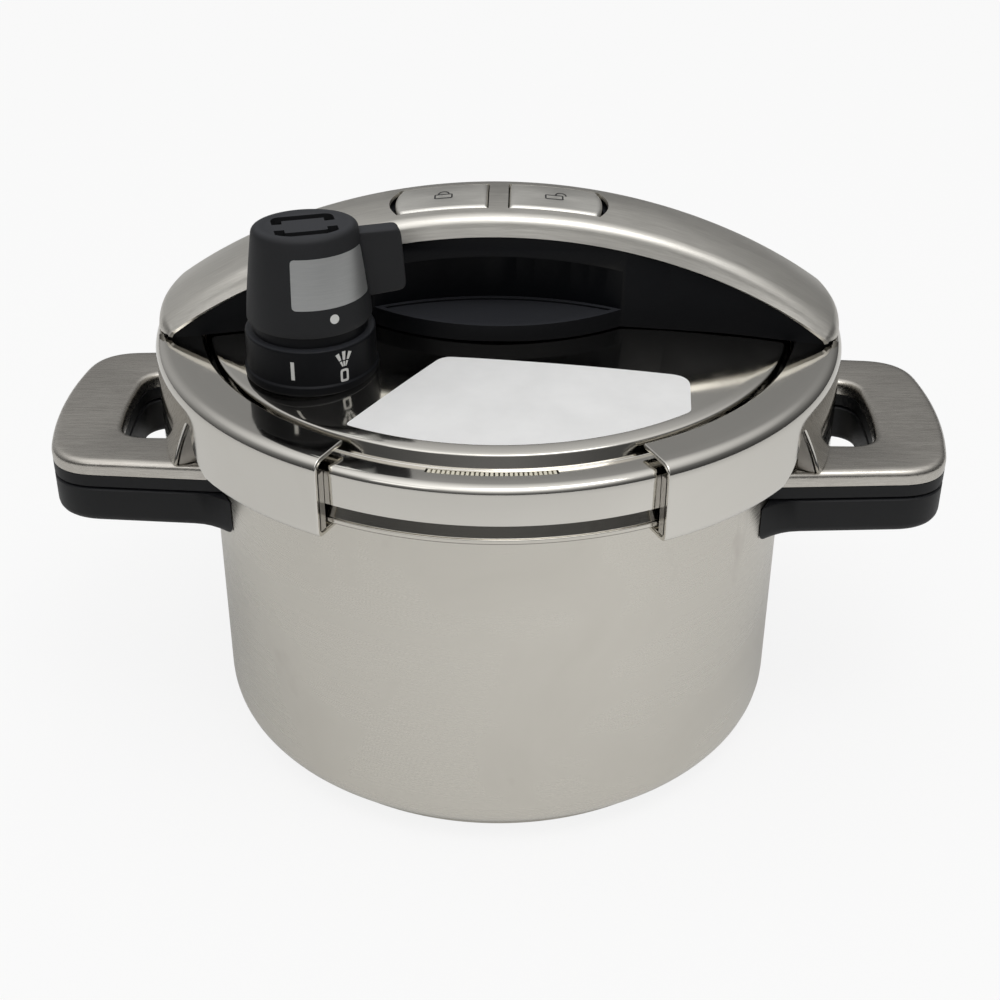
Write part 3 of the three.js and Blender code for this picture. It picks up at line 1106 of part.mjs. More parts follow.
function regulatorKnob() {
  const levels = [0, 0.25, 0.5, 0.75].map((t) => KNOB_BOTTOM + (KNOB_TOP - KNOB_BOTTOM) * t);
  const shoulder = KNOB_TOP - KNOB_ROUNDING;
  const outside = ovalStack([
    ...levels.map((z) => knobStation(z)), knobStation(shoulder),
    knobStation(KNOB_TOP - KNOB_ROUNDING * 0.3, KNOB_ROUNDING * 0.3),
    knobStation(KNOB_TOP, KNOB_ROUNDING),
  ], 28);
  const [insideTop, middle] = [KNOB_TOP - KNOB_WALL, (KNOB_BOTTOM + KNOB_TOP) / 2];
  const inside = ovalStack([
    knobStation(KNOB_BOTTOM - 1, KNOB_WALL), knobStation(middle, KNOB_WALL),
    knobStation(insideTop, KNOB_WALL + 1),
  ], 20);
  const wingBottom = KNOB_TOP - WING_DEPTH;
  const wing = upright(rounded([
    [0, wingBottom, 0], [WING_REACH, wingBottom + WING_SLANT, WING_CORNER],
    [WING_REACH - 1.5, KNOB_TOP, WING_CORNER], [0, KNOB_TOP - 0.5, 0],
  ], 3).map(({ x, y }) => [x, y]), WING_THICKNESS / 2, -WING_THICKNESS / 2);
  const vent = (side) => {
    const [half, mid] = [VENT_LENGTH / 2, VENT_SPACING / 2];
    const bar = block([-half, half], [mid, mid + VENT_WIDTH], [insideTop - 2, KNOB_TOP + 1]);
    const ends = [-half, half - VENT_WIDTH].map((x) => block(
      [x, x + VENT_WIDTH], [mid + VENT_WIDTH / 2 - VENT_HOOK, mid + 0.5], [insideTop - 2, KNOB_TOP + 1]));
    return join(bar, ...ends).rotate([0, 0, side > 0 ? 0 : 180]);
  };
  return cut(join(outside, cut(wing, inside)), inside, vent(1), vent(-1));
}

function regulatorCollar() {
  const low = LID_RIDGE_TOP - 2;
  const flangeTop = crownHeight(Math.hypot(REGULATOR_X, REGULATOR_Y)) + COLLAR_FLANGE_HEIGHT;
  const edge = 0.8;
  const profile = turned([
    [COLLAR_BORE, low], [COLLAR_FLANGE_RADIUS, low],
    [COLLAR_FLANGE_RADIUS, flangeTop], [COLLAR_RADIUS, flangeTop + 0.6],
    [COLLAR_RADIUS, COLLAR_TOP - edge], [COLLAR_RADIUS - edge, COLLAR_TOP], [COLLAR_NECK_RADIUS, COLLAR_TOP],
    [COLLAR_NECK_RADIUS, KNOB_BOTTOM - SEAT], [SPIGOT_RADIUS, KNOB_BOTTOM - SEAT],
    [SPIGOT_RADIUS, KNOB_BOTTOM + SPIGOT_HEIGHT], [SPIGOT_RADIUS - SPIGOT_WALL, KNOB_BOTTOM + SPIGOT_HEIGHT],
    [SPIGOT_RADIUS - SPIGOT_WALL, COLLAR_TOP - 4], [COLLAR_BORE, COLLAR_TOP - 6],
  ], 32);
  return cut(profile, crownSpace().translate([-REGULATOR_X, -REGULATOR_Y, 0]));
}

const REGULATOR_RADIUS_ON_LID = Math.hypot(REGULATOR_X, REGULATOR_Y);
const STEM_LID_TOP = crownHeight(REGULATOR_RADIUS_ON_LID - STEM_FLANGE_RADIUS) + SEAT;
const STEM_LID_UNDER = crownHeight(REGULATOR_RADIUS_ON_LID + NUT_RADIUS) - LID_SHEET - SEAT;

function regulatorStem() {
  const low = STEM_LID_UNDER - STEM_TAIL;
  return turned([
    [STEM_BORE, low], [STEM_RADIUS, low], [STEM_RADIUS, STEM_LID_TOP], [STEM_FLANGE_RADIUS, STEM_LID_TOP],
    [STEM_FLANGE_RADIUS, STEM_LID_TOP + STEM_FLANGE_HEIGHT], [STEM_RADIUS, STEM_LID_TOP + STEM_FLANGE_HEIGHT],
    [STEM_RADIUS, STEM_TOP - 1.5], [STEM_BORE + 0.9, STEM_TOP], [STEM_BORE, STEM_TOP],
  ], 12);
}

function regulatorNut() {
  const hexagon = ellipse(NUT_RADIUS, NUT_RADIUS, 6);
  const nut = raised(hexagon, STEM_LID_UNDER - NUT_HEIGHT, STEM_LID_UNDER);
  return cut(nut, disc(STEM_RADIUS + 0.1, STEM_LID_UNDER - NUT_HEIGHT - 1, STEM_LID_UNDER + 1, 12));
}

// A cup over the stem's lower end that keeps food out of the valve, with slots in its wall.
function filterCap() {
  const top = STEM_LID_UNDER - NUT_HEIGHT - SEAT;
  const bottom = STEM_LID_UNDER - STEM_TAIL - SEAT - FILTER_SHEET;
  const cup = turned([
    [0, bottom], [FILTER_RADIUS, bottom], [FILTER_RADIUS, top], [STEM_RADIUS + 0.1, top],
    [STEM_RADIUS + 0.1, top - FILTER_SHEET], [FILTER_RADIUS - FILTER_SHEET, top - FILTER_SHEET],
    [FILTER_RADIUS - FILTER_SHEET, bottom + FILTER_SHEET], [0, bottom + FILTER_SHEET],
  ], 12);
  const slotBottom = bottom + 2 * FILTER_SHEET;
  const slots = [0, 60, 120].map((turn) => block(
    [-FILTER_RADIUS - 1, FILTER_RADIUS + 1], [-FILTER_SLOT_WIDTH / 2, FILTER_SLOT_WIDTH / 2],
    [slotBottom, slotBottom + FILTER_SLOT_HEIGHT]).rotate([0, 0, turn]));
  return cut(cup, ...slots);
}

const POPPET_BOTTOM = STEM_TOP + SEAT;

function valvePoppet() {
  const top = POPPET_BOTTOM + POPPET_HEIGHT;
  return turned([
    [0, POPPET_BOTTOM], [STEM_BORE + 0.5, POPPET_BOTTOM], [POPPET_RADIUS, POPPET_BOTTOM + 1.5],
    [POPPET_RADIUS, top - 2], [POPPET_RADIUS - 1, top - 1], [VALVE_SPRING_RADIUS - 1.2, top - 1],
    [VALVE_SPRING_RADIUS - 1.2, top], [0, top],
  ], 12);
}

function valveSpring() {
  const bottom = POPPET_BOTTOM + POPPET_HEIGHT - 1 + SEAT;
  return coil(VALVE_SPRING_RADIUS, VALVE_SPRING_WIRE, bottom, KNOB_TOP - KNOB_WALL - SEAT,
    VALVE_SPRING_TURNS);
}

// ---------------------------------------------------------------- indicator and relief valve

// A moulded plug of silicone in a hole of the lid: lips above and below the sheet.
function lidPlug(radiusOnLid, lipRadius, waistRadius, above, below, bore, segments = 14) {
  const top = crownHeight(radiusOnLid - lipRadius) + SEAT;
  const under = crownHeight(radiusOnLid + lipRadius) - LID_SHEET - SEAT;
  const start = bore > 0 ? bore : 0;
  return turned([
    [start, under - below], [lipRadius - 0.6, under - below], [lipRadius, under - below * 0.5],
    [lipRadius, under],
    [waistRadius, under], [waistRadius, top], [lipRadius, top], [lipRadius, top + above * 0.5],
    [lipRadius - 0.8, top + above], [start, top + above],
  ], segments);
}

const PLUG_RADIUS_ON_LID = Math.hypot(PLUG_X, PLUG_Y);
const GROMMET_TOP = crownHeight(PLUG_RADIUS_ON_LID - GROMMET_RADIUS) + SEAT + GROMMET_LIP;
const GROMMET_BOTTOM = crownHeight(PLUG_RADIUS_ON_LID + GROMMET_RADIUS) - LID_SHEET - SEAT - GROMMET_LIP;

function indicatorPin() {
  const flangeTop = GROMMET_BOTTOM - INDICATOR_TRAVEL - SEAT;
  const top = GROMMET_TOP + INDICATOR_PROUD;
  return turned([
    [0, flangeTop - 1.5], [INDICATOR_RADIUS + INDICATOR_FLANGE, flangeTop - 1.5],
    [INDICATOR_RADIUS + INDICATOR_FLANGE, flangeTop],
    [INDICATOR_RADIUS, flangeTop], [INDICATOR_RADIUS, top - 0.6], [INDICATOR_RADIUS - 0.6, top], [0, top],
  ], 12);
}

// ---------------------------------------------------------------- assembly

place('pot_body', potBody(), satinSteel);
place('base_disc', baseDisc(), satinSteel);

for (const [side, turn] of [['right', 0], ['left', Math.PI]]) {
  const handle = new THREE.Group();
  handle.rotation.z = turn;
  part.add(handle);
  place(`handle_bracket_${side}`, drilledBracket(), plainSteel, { parent: handle });
  place(`lower_grip_${side}`, lowerGrip(), blackPlastic, { parent: handle });
  place(`upper_frame_${side}`, upperFrame(), blackPlastic, { parent: handle });
  place(`handle_cap_${side}`, handleCap(), brushedSteel, { parent: handle });
  GRIP_SCREWS.forEach(({ x, y }, k) => {
    place(`grip_screw_${side}_${k + 1}`, gripScrew(), plainSteel, { x, y, parent: handle });
  });
  place(`jaw_${side}`, jaw(), polishedSteel, { parent: handle });
  place(`rack_arm_${side}`, rackArm(), plainSteel, { parent: handle });
  place(`guide_screw_${side}`, guideScrew(), plainSteel, { x: GUIDE_SCREW_X, parent: handle });
}

place('lid_pan', lidPan(), polishedSteel);
place('gasket', gasket(), silicone);
place('mechanism_plate', mechanismPlate(), plainSteel);
place('pinion', pinion(), plainSteel);
place('pinion_shaft', pinionShaft(), plainSteel);
place('opening_spring', coil(OPENING_SPRING_RADIUS, OPENING_SPRING_WIRE, CAVITY_TOP + 0.2,
  SPRING_POCKET_TOP - SEAT, OPENING_SPRING_TURNS), plainSteel);
place('bridge_body', bridgeBody(), blackPlastic);
place('bridge_cover', bridgeCover(), brushedSteel);

for (const [name, side] of [['lock', -1], ['release', 1]]) {
  const x = side * BUTTON_MIDDLE_X;
  place(`${name}_button`, buttonCap(side), brushedSteel, { x });
  place(`${name}_plunger`, buttonPlunger(side), greyPlastic, { x });
  place(`${name}_spring`, buttonSpring(), plainSteel, { x });
}

const regulator = { x: REGULATOR_X, y: REGULATOR_Y };
place('regulator_collar', regulatorCollar(), blackPlastic, regulator);
place('regulator_knob', regulatorKnob(), blackPlastic,
  { ...regulator, turn: THREE.MathUtils.degToRad(KNOB_TURN) });
place('regulator_stem', regulatorStem(), brass, regulator);
place('regulator_nut', regulatorNut(), plainSteel, regulator);
place('filter_cap', filterCap(), plainSteel, regulator);
place('valve_poppet', valvePoppet(), brass, regulator);
place('valve_spring', valveSpring(), plainSteel, regulator);

const indicator = { x: PLUG_X, y: PLUG_Y };
place('indicator_grommet', lidPlug(PLUG_RADIUS_ON_LID, GROMMET_RADIUS, GROMMET_WAIST, GROMMET_LIP,
  GROMMET_LIP, INDICATOR_RADIUS + 0.2), silicone, indicator);
place('indicator_pin', indicatorPin(), redPlastic, indicator);
place('relief_valve', lidPlug(PLUG_RADIUS_ON_LID, RELIEF_RADIUS, RELIEF_RADIUS - GROMMET_LIP, RELIEF_HEIGHT,
  GROMMET_LIP, 0), silicone, { x: -PLUG_X, y: PLUG_Y });

export default part;
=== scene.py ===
"""Dresses the clamp-lid pressure cooker: smooth steel, moulded plastic, a pale floor and soft light."""

import math

import bmesh
import bpy
import numpy as np
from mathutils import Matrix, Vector


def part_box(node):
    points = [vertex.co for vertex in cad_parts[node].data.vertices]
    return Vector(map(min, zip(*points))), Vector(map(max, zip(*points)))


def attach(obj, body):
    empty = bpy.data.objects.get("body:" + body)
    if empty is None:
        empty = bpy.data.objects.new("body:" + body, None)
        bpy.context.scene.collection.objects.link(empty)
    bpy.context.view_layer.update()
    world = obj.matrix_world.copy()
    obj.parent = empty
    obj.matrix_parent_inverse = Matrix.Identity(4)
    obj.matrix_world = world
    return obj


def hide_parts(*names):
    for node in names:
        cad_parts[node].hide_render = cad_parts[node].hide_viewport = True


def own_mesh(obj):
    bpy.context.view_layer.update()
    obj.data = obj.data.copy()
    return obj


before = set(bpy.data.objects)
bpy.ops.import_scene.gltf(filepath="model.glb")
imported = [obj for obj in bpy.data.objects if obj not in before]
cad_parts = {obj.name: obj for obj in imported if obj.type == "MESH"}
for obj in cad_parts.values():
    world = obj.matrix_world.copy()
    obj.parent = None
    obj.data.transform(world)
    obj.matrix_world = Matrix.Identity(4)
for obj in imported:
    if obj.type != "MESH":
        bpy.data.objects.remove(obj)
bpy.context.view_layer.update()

MM = 0.001
TURN = 2 * math.pi
SIDES = ((1, "right"), (-1, "left"))

# ---- sizes of the cooker, in mm

SEAT = 0.3                           # left free where one piece rests on another

# pot and base disc
POT_IN, POT_WALL, POT_SHEET, POT_BOTTOM = 100.0, 101.2, 1.2, 5.3
RIM, FLANGE_R, FLANGE_Z, BEAD = 134.3, 110.4, 127.9, 1.0
DISC_R, DISC_H = 91.5, 5.0

# pot handles: the cap, the frame and the grip lie one below the other, round a finger hole
CAP_TOP, CAP_LOW, CAP_SHEET = 114.1, 108.9, 1.0
FRAME_TOP, FRAME_LOW, FRAME_SHELL = 108.6, 104.4, 1.6
GRIP_TOP, GRIP_LOW, GRIP_FLARE = 103.2, 89.7, 4.5
HANDLE_REACH, HANDLE_BOW = 155.8, 5.8
HANDLE_ROOT, HANDLE_END, HANDLE_CORNER = 44.5, 41.0, 14.0
HOLE_IN, HOLE_OUT, HOLE_HALF, HOLE_BOW, HOLE_CORNER = 107.0, 131.7, 23.5, 2.0, 9.1

# lid: the crown inside its ridge, the rim, the skirt and the relief slot
RIDGE_R, RIDGE_Z, CREST_Z = 98.9, 151.0, 155.0
LID_RIM_Z, LID_SKIRT_R, LID_SKIRT_Z, LID_SHEET = 147.5, 111.8, 134.9, 1.2
SLOT_R, SLOT_LONG, SLOT_WIDE = 103.1, 41.0, 2.2
LABEL_R = 93.0

# clamp jaws: angles in degrees
JAW_R, JAW_SHEET, JAW_TOP, JAW_LOW = 115.0, 1.6, 149.6, 126.0
JAW_FLANGE_R, JAW_LIP_R, JAW_HALF = 100.7, 105.0, 63.6
TONGUE_Z, TONGUE_HALF, TONGUE_FOLD, END_FOLD, FOLD_THICK = 114.4, 22.0, 6.4, 3.0, 1.3
NOTCH_AT, NOTCH_Z, NOTCH_WIDE, SKIRT_CORNER = 34.0, 141.8, 2.4, 12.0
TAB_HALF, TAB_TOP = 22.0, 152.3

# bridge: the arch, its cover and the buttons in its window
ARCH_TOP, ARCH_R, BRIDGE_END, BRIDGE_SEAM, SHOULDER = 192.6, 193.0, 114.5, 152.7, 6.4
ARCH_Z = ARCH_TOP - ARCH_R
SHOULDER_X, SHOULDER_Z = BRIDGE_END - SHOULDER, BRIDGE_SEAM - 1.0
SHOULDER_ANGLE = math.asin(SHOULDER_X / (ARCH_R - SHOULDER))
FOLD_HALF, FOLD_ROUND, COVER_CROWN, COVER_FLARE, COVER_DEPTH, COVER_SHEET = 17.4, 3.7, 1.3, 1.5, 6.0, 1.2
END_SPREAD, END_RISE = 6.0, 3.0
BUTTON_IN, BUTTON_OUT, BUTTON_HALF, BUTTON_BOW, BUTTON_PROUD, BUTTON_ROUND = 3.6, 32.6, 10.2, 1.6, 0.3, 0.7
WINDOW_GAP, WINDOW_BOW = 0.45, 3.05
BUTTON_SPRING_X, BUTTON_SPRING_SEAT, BUTTON_TRAVEL = 18.1, 174.9, 3.0

# pressure regulator: the collar, the knob, its lever and the valve's spring
REG_X, REG_Y = -58.9, -44.2
COLLAR_R, COLLAR_TOP, COLLAR_FLANGE_R, COLLAR_NECK_R = 20.7, 167.2, 21.4, 18.2
KNOB_LOW, KNOB_TOP, KNOB_R, KNOB_TOP_A, KNOB_TOP_B = 171.1, 201.1, 19.8, 16.4, 13.0
KNOB_WALL, KNOB_EDGE, KNOB_TURN = 2.4, 1.8, 15.0
WING_REACH, WING_THICK, WING_TOP, WING_LOW, WING_SLANT, WING_ROUND = 31.0, 6.5, 198.0, 174.6, 2.4, 1.2
SPRING_WIRE = 0.4

# ---- shaders


class Value:
    """A shader socket in Python arithmetic. Each operation adds one Math node."""

    def __init__(self, shader, socket):
        self.shader, self.socket = shader, socket

    def _math(self, operation, *values):
        node = self.shader.node("ShaderNodeMath", {"operation": operation}, dict(enumerate(values)))
        return Value(self.shader, node.outputs[0])

    def __add__(self, other): return self._math("ADD", self, other)
    def __radd__(self, other): return self._math("ADD", other, self)
    def __sub__(self, other): return self._math("SUBTRACT", self, other)
    def __rsub__(self, other): return self._math("SUBTRACT", other, self)
    def __mul__(self, other): return self._math("MULTIPLY", self, other)
    def __rmul__(self, other): return self._math("MULTIPLY", other, self)
    def __pow__(self, other): return self._math("POWER", self, other)
    def clamp(self): return self._math("MINIMUM", self._math("MAXIMUM", self, 0.0), 1.0)


class Nodes:
    """A node tree, with one method that adds any node."""

    def __init__(self, tree):
        self.tree = tree
        self.tree.nodes.clear()

    def node(self, kind, settings=None, values=None):
        """Adds a node: its settings first, then the values or links of its sockets."""
        node = self.tree.nodes.new(kind)
        for key, setting in (settings or {}).items():
            if key == "stops":
                ramp = node.color_ramp
                while len(ramp.elements) < len(setting):
                    ramp.elements.new(0.5)
                for element, (place, colour) in zip(ramp.elements, setting):
                    element.position = place
                    element.color = colour
            else:
                setattr(node, key, setting)
        for key, value in (values or {}).items():
            socket = node.inputs[key]
            if isinstance(value, Value):
                self.tree.links.new(value.socket, socket)
            else:
                socket.default_value = value
        return node

    def out(self, node, socket=0):
        return Value(self, node.outputs[socket])

    def link(self, node, socket=0):
        """The last link of a tree, from a node's first output."""
        self.tree.links.new(node.outputs[0], socket)

    def split(self, vector):
        """The three parts of a vector."""
        node = self.node("ShaderNodeSeparateXYZ", {}, {0: vector})
        return [self.out(node, part) for part in range(3)]

    def join(self, x, y, z):
        return self.out(self.node("ShaderNodeCombineXYZ", {}, {0: x, 1: y, 2: z}))

    def ramp(self, value, *stops):
        """A grey ramp between (place, level) stops."""
        colours = [(at, (level, level, level, 1.0)) for at, level in stops]
        return self.out(self.node("ShaderNodeValToRGB", {"stops": colours}, {"Fac": value}))


class Shader(Nodes):
    """One material: a Principled shader and the nodes that feed it."""

    def __init__(self, name, **constants):
        self.material = bpy.data.materials.new(name)
        self.material.use_nodes = True
        super().__init__(self.material.node_tree)
        self.output = self.node("ShaderNodeOutputMaterial")
        values = {key.replace("_", " "): value for key, value in constants.items()}
        self.principled = self.node("ShaderNodeBsdfPrincipled", {}, values)
        self.link(self.principled, self.output.inputs[0])

    def place(self, scale=(1, 1, 1), turn=(0, 0, 0), start=None):
        """Object coordinates, or another vector to start from, through a Mapping node."""
        start = start or self.out(self.node("ShaderNodeTexCoord"), "Object")
        values = {"Vector": start, "Scale": scale, "Rotation": turn}
        return self.out(self.node("ShaderNodeMapping", {}, values))

    def cloud(self, scale, *shape):
        """Noise at plain object coordinates."""
        return self.noise(self.place(), scale, *shape)

    def noise(self, place, scale, detail=2.0, rough=0.5, distortion=0.0):
        values = {"Vector": place, "Scale": scale, "Detail": detail, "Roughness": rough,
                  "Distortion": distortion}
        return self.out(self.node("ShaderNodeTexNoise", {}, values), "Fac")

    def blend(self, amount, first, second):
        """A colour between two colours."""
        values = {0: amount, 6: first, 7: second}
        return self.out(self.node("ShaderNodeMix", {"data_type": "RGBA"}, values), 2)

    def bump(self, height, distance, strength=1.0, after=None):
        values = {"Height": height, "Distance": distance, "Strength": strength}
        if after is not None:
            values["Normal"] = after
        return self.out(self.node("ShaderNodeBump", {}, values))

    def feed(self, **links):
        names = {"colour": "Base Color", "roughness": "Roughness", "normal": "Normal"}
        for key, value in links.items():
            self.tree.links.new(value.socket, self.principled.inputs[names[key]])
        return self.material


def rgb(red, green, blue):
    return (red, green, blue, 1.0)


def turned(shader):
    """Object coordinates as (radius, height, 0), so that a pattern runs round the pot."""
    x, y, z = shader.split(shader.place())
    return shader.join((x * x + y * y) ** 0.5, z, 0.0)


def along_arch(shader):
    """Object coordinates as (x, y, distance from the arch's axis), so that a grain follows the arch."""
    x, y, z = shader.split(shader.place())
    height = z - ARCH_Z * MM
    return shader.join(x, y, (x * x + height * height) ** 0.5)


def smudges(shader, low=0.52, high=0.75):
    """Soft cloudy patches, as a cloth leaves on steel."""
    cloud = shader.cloud(14.0, 4.0, 0.62, 0.6)
    return shader.ramp(cloud, (low, 0.0), (high, 1.0))


def satin_steel():
    """Pot: fine turned lines round the axis, faint smudges, a few stains, a polished rim and a dark line of
    painted shade along the underside of the flange's bead."""
    s = Shader("satin_steel_wall", Metallic=1.0, Anisotropic=0.35)
    lines = s.noise(turned(s), 2600.0, 2.0, 0.7)
    broad = s.noise(turned(s), 90.0, 2.0, 0.5)
    smear = smudges(s, 0.5, 0.78)
    stain = s.ramp(s.noise(s.place(scale=(1, 1, 0.6)), 46.0, 3.0, 0.6), (0.66, 0.0), (0.78, 1.0))
    height = s.split(s.place())[2] * 1000
    rim = ((height - 125.5) * 0.8).clamp()
    # painted shade: a narrow band low on the flange's bead is blended almost to black, where its underside is
    # in shade
    painted_shade_line = s.ramp((height - 127.0) * 0.4, (0.05, 0.0), (0.3, 1.0), (0.5, 1.0), (0.66, 0.0))
    tone = s.blend(smear * 0.35, rgb(0.615, 0.59, 0.535), rgb(0.545, 0.52, 0.465))
    colour = s.blend(painted_shade_line * 0.8, s.blend(stain * 0.25, tone, rgb(0.40, 0.345, 0.32)), rgb(0.05, 0.045, 0.04))
    rough = 0.235 + lines * 0.05 + broad * 0.03 + smear * 0.06 + stain * 0.05 - rim * 0.17
    return s.feed(colour=colour, roughness=rough, normal=s.bump(lines, 0.00002, 0.35))


def polished_steel():
    """Lid and jaws: mirror polish, with finger marks and hairline scratches."""
    s = Shader("polished_steel_lid", Metallic=1.0)
    smear = smudges(s, 0.46, 0.74)
    prints = s.ramp(s.cloud(70.0, 5.0, 0.7, 1.2), (0.5, 0.0), (0.72, 1.0))
    scratch_a = s.noise(s.place(scale=(60, 3, 30), turn=(0, 0, 0.5)), 30.0, 2.0, 0.6)
    scratch_b = s.noise(s.place(scale=(3, 60, 30), turn=(0, 0, 0.2)), 30.0, 2.0, 0.6)
    scratch = s.ramp(scratch_a, (0.68, 0.0), (0.74, 1.0)) + s.ramp(scratch_b, (0.7, 0.0), (0.76, 1.0))
    sway = s.cloud(22.0, 1.0, 0.4)
    colour = s.blend(smear * 0.4, rgb(0.66, 0.64, 0.595), rgb(0.59, 0.565, 0.52))
    rough = 0.07 + smear * 0.06 + prints * 0.05 + scratch * 0.06
    normal = s.bump(scratch, 0.00001, 0.15, s.bump(sway, 0.0006, 0.12))
    return s.feed(colour=colour, roughness=rough, normal=normal)


def brushed_steel(name, scale, arched, dull, dark, light):
    """Cover, caps and buttons: straight brushed grain along one direction, with finger marks."""
    s = Shader(name, Metallic=1.0, Anisotropic=0.3)
    start = along_arch(s) if arched else s.place()
    grain, fine, wide = (
        s.noise(s.place(scale=tuple(size * k for k in scale), start=start), 1.0, detail, rough)
        for size, detail, rough in ((40, 3.0, 0.72), (110, 2.0, 0.6), (9, 3.0, 0.6)))
    smear = smudges(s, 0.42, 0.74)
    streak = s.ramp(grain * 0.65 + fine * 0.2 + wide * 0.15, (0.36, 0.0), (0.64, 1.0))
    colour = s.blend(smear * 0.4, s.blend(streak, dark, light), light)
    rough = dull + streak * 0.08 + fine * 0.05 + smear * 0.05
    return s.feed(colour=colour, roughness=rough, normal=s.bump(grain + fine * 0.6, 0.00003, 0.6))


def plain_steel():
    """Inner parts and edges: a plain mill finish."""
    s = Shader("mill_steel", Metallic=1.0)
    grain = s.cloud(900.0, 3.0, 0.7)
    cloud = smudges(s)
    colour = s.blend(cloud * 0.5, rgb(0.55, 0.53, 0.50), rgb(0.46, 0.44, 0.41))
    return s.feed(colour=colour, roughness=0.28 + grain * 0.1 + cloud * 0.06,
                  normal=s.bump(grain, 0.00002, 0.4))


def moulded(name, dark, light, rough, sheen=0.3):
    """Moulded plastic: a fine spark-eroded grain, a slight cloudiness, fine specks of dust, and painted light
    that turns upward faces paler."""
    s = Shader(name, IOR=1.49, Specular_IOR_Level=sheen)
    grain = s.cloud(2400.0, 3.0, 0.65)
    cloud = s.cloud(18.0, 4.0, 0.6, 0.4)
    dust = s.ramp(s.cloud(5200.0, 1.0, 0.5), (0.74, 0.0), (0.8, 1.0))
    body = s.blend(s.ramp(cloud, (0.35, 0.0), (0.75, 1.0)) * 0.35, dark, light)
    # painted light: the more a face looks up, the paler its colour, as if lit from above
    upward = s.split(s.out(s.node("ShaderNodeNewGeometry"), "Normal"))[2]
    painted_top_light = upward.clamp() ** 4 * (0.55 + cloud * 0.3)
    colour = s.blend(painted_top_light, s.blend(dust * 0.15, body, rgb(0.12, 0.12, 0.115)), rgb(0.042, 0.044, 0.050))
    return s.feed(colour=colour, roughness=rough + cloud * 0.08 + grain * 0.07,
                  normal=s.bump(grain, 0.00004, 0.6))


def rubber(name, dark, light):
    """Silicone: soft sheen with a little talc."""
    s = Shader(name, IOR=1.41)
    cloud = s.cloud(40.0, 4.0, 0.6)
    colour = s.blend(cloud, dark, light)
    return s.feed(colour=colour, roughness=0.42 + cloud * 0.2,
                  normal=s.bump(s.cloud(1500.0, 2.0), 0.00003, 0.4))


def turned_brass():
    """Regulator stem and poppet: bright brass with a fine unevenness."""
    s = Shader("turned_brass", Metallic=1.0)
    grain = s.cloud(700.0, 3.0)
    colour = s.blend(grain, rgb(0.70, 0.50, 0.22), rgb(0.60, 0.42, 0.18))
    return s.feed(colour=colour, roughness=0.25 + grain * 0.15)


def printed(name, ink, paper, rough=0.45):
    """Printed film or paint: an even coat with a faint unevenness."""
    s = Shader(name, IOR=1.45)
    cloud = s.cloud(60.0, 3.0, 0.6)
    fibre = s.cloud(1900.0, 2.0, 0.6)
    colour = s.blend(s.ramp(cloud, (0.3, 0.0), (0.7, 1.0)), ink, paper)
    return s.feed(colour=colour, roughness=rough + fibre * 0.1, normal=s.bump(fibre, 0.00001, 0.3))


def plate_film():
    """A silver film, brushed along its length."""
    s = Shader("silver_film", Metallic=0.85)
    grain = s.noise(s.place(scale=(4, 4, 90)), 30.0, 3.0, 0.7)
    colour = s.blend(grain, rgb(0.44, 0.45, 0.45), rgb(0.56, 0.565, 0.56))
    return s.feed(colour=colour, roughness=0.36 + grain * 0.1, normal=s.bump(grain, 0.00001, 0.3))


SATIN = satin_steel()
POLISH = polished_steel()
BRUSH_COVER = brushed_steel("brushed_steel_cover", (2, 45, 45), True, 0.3,
                            rgb(0.59, 0.57, 0.525), rgb(0.72, 0.70, 0.65))
BRUSH_CAP = brushed_steel("brushed_steel_caps", (2.5, 45, 45), False, 0.2,
                          rgb(0.44, 0.415, 0.38), rgb(0.58, 0.555, 0.51))
BRUSH_BUTTON = brushed_steel("brushed_steel_buttons", (2.5, 50, 50), True, 0.34,
                             rgb(0.70, 0.685, 0.64), rgb(0.80, 0.785, 0.74))
MILL = plain_steel()
BLACK = moulded("black_moulding", rgb(0.0026, 0.003, 0.0042), rgb(0.006, 0.0065, 0.0085), 0.36, 0.15)
BLACK_DULL = moulded("black_moulding_handles", rgb(0.0045, 0.0048, 0.0056), rgb(0.009, 0.0095, 0.011), 0.44)
BLACK_MATT = moulded("black_moulding_knob", rgb(0.014, 0.0145, 0.016), rgb(0.022, 0.0225, 0.025), 0.5, 0.28)
GREY = moulded("grey_moulding", rgb(0.06, 0.06, 0.06), rgb(0.09, 0.09, 0.09), 0.45)
RED = moulded("red_moulding", rgb(0.35, 0.02, 0.02), rgb(0.45, 0.03, 0.03), 0.4)
SILICONE = rubber("silicone_seal", rgb(0.10, 0.095, 0.09), rgb(0.14, 0.135, 0.13))
CREAM = rubber("silicone_teeth", rgb(0.66, 0.62, 0.50), rgb(0.76, 0.73, 0.62))
BRASS = turned_brass()
PAPER = printed("label_film", rgb(0.80, 0.80, 0.795), rgb(0.86, 0.86, 0.855))
PAINT = printed("white_print", rgb(0.62, 0.62, 0.60), rgb(0.70, 0.70, 0.68), 0.5)
INK = printed("grey_print", rgb(0.022, 0.022, 0.022), rgb(0.035, 0.035, 0.035), 0.5)
SILVER = plate_film()

# ---- mesh tools


def outwards(points, faces, centre):
    """Four-cornered faces, each turned to look away from a centre: the sign of the cross product of its two
    diagonals times the way from the centre to its middle."""
    corners = points[faces]
    normal = np.cross(corners[:, 2] - corners[:, 0], corners[:, 3] - corners[:, 1])
    inward = (normal * (corners.mean(1) - centre)).sum(1) < 0
    return np.where(inward[:, None], faces[:, ::-1], faces)


